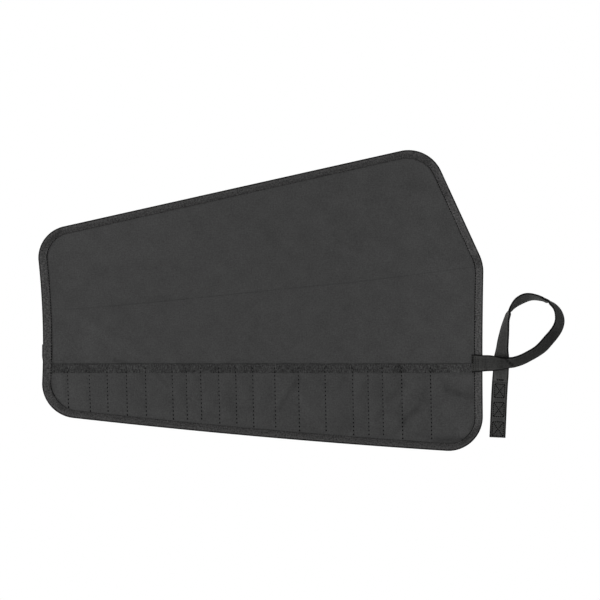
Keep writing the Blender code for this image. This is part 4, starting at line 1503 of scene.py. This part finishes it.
class POUCH_OT_mouth_tape(bpy.types.Operator):
    """Fold the ribbed tape over the mouth of the pockets"""

    bl_idname = "tool_pouch.mouth_tape"
    bl_label = "Mouth tape"
    bl_options = {"REGISTER", "UNDO"}

    spacing: length_size("Spacing", "Distance between the tape's sections", 0.0012)

    def execute(self, context):
        sizes = context.scene.tool_pouch_sizes
        outline = Outline(sizes, STATION_SPACING)
        columns = pocket_columns(sizes, outline, self.spacing)
        drops, offsets = np.array(self.profile(sizes)).T
        shape = (len(drops), len(columns.top))
        on_cloth = np.broadcast_to(np.maximum(drops, 0.0)[:, None], shape)
        x, y, z = pocket_surface(sizes, outline, columns, on_cloth)
        y = y + np.maximum(-drops, 0.0)[:, None]
        grid = np.stack((x, y, z + offsets[:, None]), axis=-1).transpose(1, 0, 2)
        along = lengths_along(grid[:, CROWN_COLUMN])
        across = np.cumsum(np.hypot(np.diff(drops, prepend=0), np.diff(offsets, prepend=0)))
        # painted light over the fold and along the lower edge, and the tone along the pouch
        tone = np.interp(grid[..., 0], *MOUTH_TONE_ALONG) * np.interp(drops, *MOUTH_ROLL_LIGHT)
        tape = new_piece(
            "mouth_tape", grid.reshape(-1, 3), loft_faces(len(columns.top), len(drops)),
            shared_material("mouth_tape"), weave_map(along, across), tone)
        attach(tape, "root")
        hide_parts("pocket_band")
        return {"FINISHED"}

    def profile(self, sizes):
        """The folded tape's closed section: drop below the mouth, and height over the cloth."""
        wide, gap, thick = sizes.mouth_tape_width, sizes.layer_gap, sizes.tape
        front, back = sizes.cloth + gap, -gap
        middle = sizes.cloth / 2
        outer = front + thick - middle
        rows = [(wide - inward, front + thick * rise) for inward, rise in MOUTH_EDGE]
        rows += [(wide * share, front + thick * MOUTH_CROWN) for share in (0.5, 0.25)]
        for degrees in MOUTH_ANGLES:
            turn = math.radians(degrees)
            away = outer * ROUND_DEPTH * math.cos(turn)
            rows.append((FOLD_INSET - away, middle + outer * math.sin(turn)))
        rows += [(wide * BACK_MIDDLE, back - thick), (wide * BACK_LEG, back - thick)]
        rows += [(wide * BACK_LEG, back), (wide * BACK_LEG / 2, back), (-FOLD_GAP, middle)]
        rows += [(wide * 0.25, front), (wide - MOUTH_EDGE[1][0], front)]
        return rows


class POUCH_OT_edge_tape(bpy.types.Operator):
    """Fold the ribbed tape round the whole edge, with its lapped end at the left"""

    bl_idname = "tool_pouch.edge_tape"
    bl_label = "Edge tape"
    bl_options = {"REGISTER", "UNDO"}

    def execute(self, context):
        sizes = context.scene.tool_pouch_sizes
        threads = context.scene.tool_pouch_threads
        outline = Outline(sizes, threads.edge_pitch / 3)
        self.check_outline(outline)
        order, lifted = self.order(sizes, outline)
        tucked = smooth((np.arange(len(order)) - outline.count + TUCK_STATIONS) / TUCK_STATIONS)
        inward, height = tape_sections(sizes, threads, outline, order, lifted, tucked)
        outset = lifted * OVERLAP_OUTSET
        shift = (inward - outset[:, None])[..., None]
        flat = outline.points[order][:, None] - outline.normals[order][:, None] * shift
        points = np.concatenate((flat, height[..., None]), axis=-1)
        weave = weave_map(np.arange(len(order)) * outline.step, lengths_along(points[0]))
        facing = outline.normals[order, 0]
        upright = (facing ** 2)[:, None]
        # painted shade and highlight across the rolled tape, and painted sheen by the way it runs
        roll_light = np.interp(inward, *UPRIGHT_ROLL_LIGHT) * upright
        roll_light += np.interp(inward, *LEVEL_ROLL_LIGHT) * (1 - upright)
        tone = np.interp(facing, *RUN_SHEEN)[:, None] * roll_light
        # painted shade where the tape pleats and bunches at the corners
        tone *= 1 - fold_field(TAPE_FOLDS, flat[..., 0], flat[..., 1])[1]
        tape = new_piece(
            "edge_tape", points.reshape(-1, 3), loft_faces(len(order), inward.shape[1]),
            shared_material("edge_tape"), weave, tone)
        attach(tape, "root")
        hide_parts("edge_binding")
        return {"FINISHED"}

    def check_outline(self, outline):
        """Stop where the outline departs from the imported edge."""
        low, high = outline.points.min(axis=0), outline.points.max(axis=0)
        away = max(abs(low - EDGE_LOW[:2]).max(), abs(high - EDGE_HIGH[:2]).max())
        if away > OUTLINE_SLACK:
            raise RuntimeError("the outline doesn't fit the packed edge binding")

    def order(self, sizes, outline):
        """The stations from the lapped end once round and under it, and their lift there."""
        on_left = outline.points[:, 0] < 0
        level = np.abs(outline.points[:, 1] - SEAM_Y) + np.where(on_left, 0.0, 1.0)
        first = int(level.argmin())
        lap = round(OVERLAP_LENGTH / outline.step)
        order = (first + np.arange(outline.count + lap // 2)) % outline.count
        reached = np.arange(len(order)) * outline.step
        return order, lap_lift(sizes, reached)


class POUCH_OT_seams(bpy.types.Operator):
    """Sew the edge tape, the mouth tape and the lines between the pockets"""

    bl_idname = "tool_pouch.seams"
    bl_label = "Seams"
    bl_options = {"REGISTER", "UNDO"}

    def execute(self, context):
        sizes = context.scene.tool_pouch_sizes
        threads = context.scene.tool_pouch_threads
        outline = Outline(sizes, STATION_SPACING)
        columns = self.seam_columns(sizes, outline)
        thin = threads.thickness
        stitches, widths = self.edge_stitches(sizes, threads)
        self.add("edge_stitches", "edge_tape", "dark_thread", stitches, widths, thin)
        stitches = self.mouth_stitches(sizes, threads, outline)
        self.add("mouth_stitches", "mouth_tape", "thread", stitches, thin, thin)
        reach = threads.pocket_pitch * POCKET_RUN
        stitches = self.pocket_marks(sizes, threads, outline, columns, 0.5, reach)
        self.add("pocket_stitches", "pocket_canvas", "thread", stitches, thin, thin)
        # the needle holes are dark marks of painted shade
        reach = threads.hole * HOLE_RUN
        holes = self.pocket_marks(sizes, threads, outline, columns, 1.0, reach)
        self.add("pocket_needle_holes", "pocket_canvas", "dark_thread", holes, threads.hole, thin)
        return {"FINISHED"}

    def add(self, name, slot, key, stitches, width, height):
        """One seam's thread."""
        piece = sew(name, stitches, width, height, shared_material(key))
        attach(piece, "root")

    def edge_stitches(self, sizes, threads):
        """Stitches on both legs of the edge tape, widest on the sides that run up the pouch, where they
        also paint the shade along the tape's inner edge.
        """
        outline = Outline(sizes, threads.edge_pitch)
        inward = outline.laps - threads.edge_inset
        places = outline.points - outline.normals * inward[:, None]
        runs = np.stack((-outline.normals[:, 1], outline.normals[:, 0]), axis=1)
        top = stack_top(sizes, places[:, 1]) + sizes.layer_gap + sizes.tape
        past_seam = np.where(places[:, 0] < 0, SEAM_Y - places[:, 1], 1.0)
        top += np.where(past_seam > 0, lap_lift(sizes, past_seam), 0.0)
        # wide dark thread that also paints the shade along the tape's inner edge on the upright sides
        upright = outline.normals[:, 0] ** 4
        widths = EDGE_THREAD_LEAST + (1 - EDGE_THREAD_LEAST) * upright
        widths = threads.edge_thickness * widths
        half = threads.edge_pitch * EDGE_RUN
        stitches = []
        for place, run, level in zip(places, runs, top):
            step = (run[0] * half, run[1] * half, 0.0)
            for height in (level - SUNK_THREAD, TAPE_FLOOR):
                stitches.append(((place[0], place[1], height), step, (0, 0, 1)))
        return stitches, np.repeat(widths, 2)

    def seam_columns(self, sizes, outline):
        """The columns of the seams between the pockets."""
        top = pocket_edges(sizes, outline)[1:-1]
        flat = np.zeros(len(top))
        return Columns(top, flat + sizes.pocket_lean, flat, flat)

    def down_the_seams(self, sizes, threads, outline, columns, first):
        """Places down each line between two pockets: x, y, top and underside, and the run."""
        depths = pocket_depths(sizes, outline, columns)
        count = int(depths.max() / threads.pocket_pitch) + 1
        drops = (np.arange(count) + first)[:, None] * threads.pocket_pitch
        drops = np.broadcast_to(drops, (count, len(columns.top)))
        x, y, z = pocket_surface(sizes, outline, columns, drops)
        back = back_level(sizes, outline, x, y)
        over_tape = sizes.tape * MOUTH_CROWN + sizes.layer_gap
        tape = np.where(drops < sizes.mouth_tape_width, over_tape, 0.0)
        top = z + sizes.cloth + tape
        for place in np.argwhere(drops < depths - threads.pocket_pitch * SEAM_END):
            place = tuple(place)
            run = Vector((sizes.pocket_lean / depths[place[1]], -1.0, 0.0)).normalized()
            yield x[place], y[place], top[place], back[place], run

    def pocket_marks(self, sizes, threads, outline, columns, first, reach):
        """Stitches, or the dark marks of painted shade in the needle holes, down each line between two
        pockets, on both sides of the pouch. The first ones lie a share of the pitch below the mouth."""
        marks = []
        for x, y, top, under, run in self.down_the_seams(sizes, threads, outline, columns, first):
            for height in (top, under + threads.thickness / 4):
                marks.append(((x, y, height), run * reach, (0, 0, 1)))
        return marks

    def mouth_stitches(self, sizes, threads, outline):
        """The row of stitches along the mouth tape's lower edge."""
        columns = pocket_columns(sizes, outline, threads.edge_pitch / 3)
        drop = sizes.mouth_tape_width - threads.edge_inset * MOUTH_INSET
        drops = np.full((1, len(columns.top)), drop)
        x, y, z = pocket_surface(sizes, outline, columns, drops)
        line = np.stack((x[0], y[0], z[0] + sizes.cloth + sizes.layer_gap + sizes.tape), axis=1)
        reached = lengths_along(line)
        pitch = threads.edge_pitch
        half = pitch * MOUTH_RUN
        stitches = []
        for middle in np.arange(pitch, reached[-1] - pitch, pitch):
            ends = [np.array([np.interp(middle + side, reached, line[:, axis]) for axis in range(3)])
                    for side in (-half, half)]
            run = Vector((ends[1] - ends[0]) / 2)
            face = Vector((-run.z, 0.0, run.x)).normalized()
            stitches.append((Vector((ends[0] + ends[1]) / 2), run, face))
        return stitches


class POUCH_PT_sidebar(bpy.types.Panel):
    """The steps that dress the pouch, in order"""

    bl_idname = "POUCH_PT_sidebar"
    bl_label = "Tool Pouch"
    bl_space_type = "VIEW_3D"
    bl_region_type = "UI"
    bl_category = "Tool Pouch"

    def draw(self, context):
        scene = context.scene
        for operator in OPERATORS:
            self.layout.operator(operator.bl_idname)
        for group in (scene.tool_pouch_sizes, scene.tool_pouch_strap, scene.tool_pouch_threads,
                      scene.tool_pouch_colours):
            box = self.layout.box()
            for name in group.__annotations__:
                box.prop(group, name)


OPERATORS = (
    POUCH_OT_stage, POUCH_OT_tie_strap, POUCH_OT_edge_tape, POUCH_OT_mouth_tape,
    POUCH_OT_seams, POUCH_OT_back_cloth, POUCH_OT_pocket_cloth,
)
GROUPS = (PouchSizes, StrapSizes, ThreadSizes, PouchColours)


def register():
    """Register the classes and hang the settings on the scene."""
    for item in GROUPS + OPERATORS + (POUCH_PT_sidebar,):
        bpy.utils.register_class(item)
    scene = bpy.types.Scene
    scene.tool_pouch_sizes = bpy.props.PointerProperty(type=PouchSizes)
    scene.tool_pouch_strap = bpy.props.PointerProperty(type=StrapSizes)
    scene.tool_pouch_threads = bpy.props.PointerProperty(type=ThreadSizes)
    scene.tool_pouch_colours = bpy.props.PointerProperty(type=PouchColours)


def unregister():
    """Take the settings and the classes away again."""
    scene = bpy.types.Scene
    del scene.tool_pouch_sizes
    del scene.tool_pouch_strap
    del scene.tool_pouch_threads
    del scene.tool_pouch_colours
    for item in reversed(GROUPS + OPERATORS + (POUCH_PT_sidebar,)):
        bpy.utils.unregister_class(item)


def main():
    """Dress the pouch."""
    register()
    bpy.ops.tool_pouch.stage()
    bpy.ops.tool_pouch.tie_strap()
    bpy.ops.tool_pouch.edge_tape()
    bpy.ops.tool_pouch.mouth_tape()
    bpy.ops.tool_pouch.seams()
    bpy.ops.tool_pouch.back_cloth()
    bpy.ops.tool_pouch.pocket_cloth()


if __name__ == "__main__":
    main()
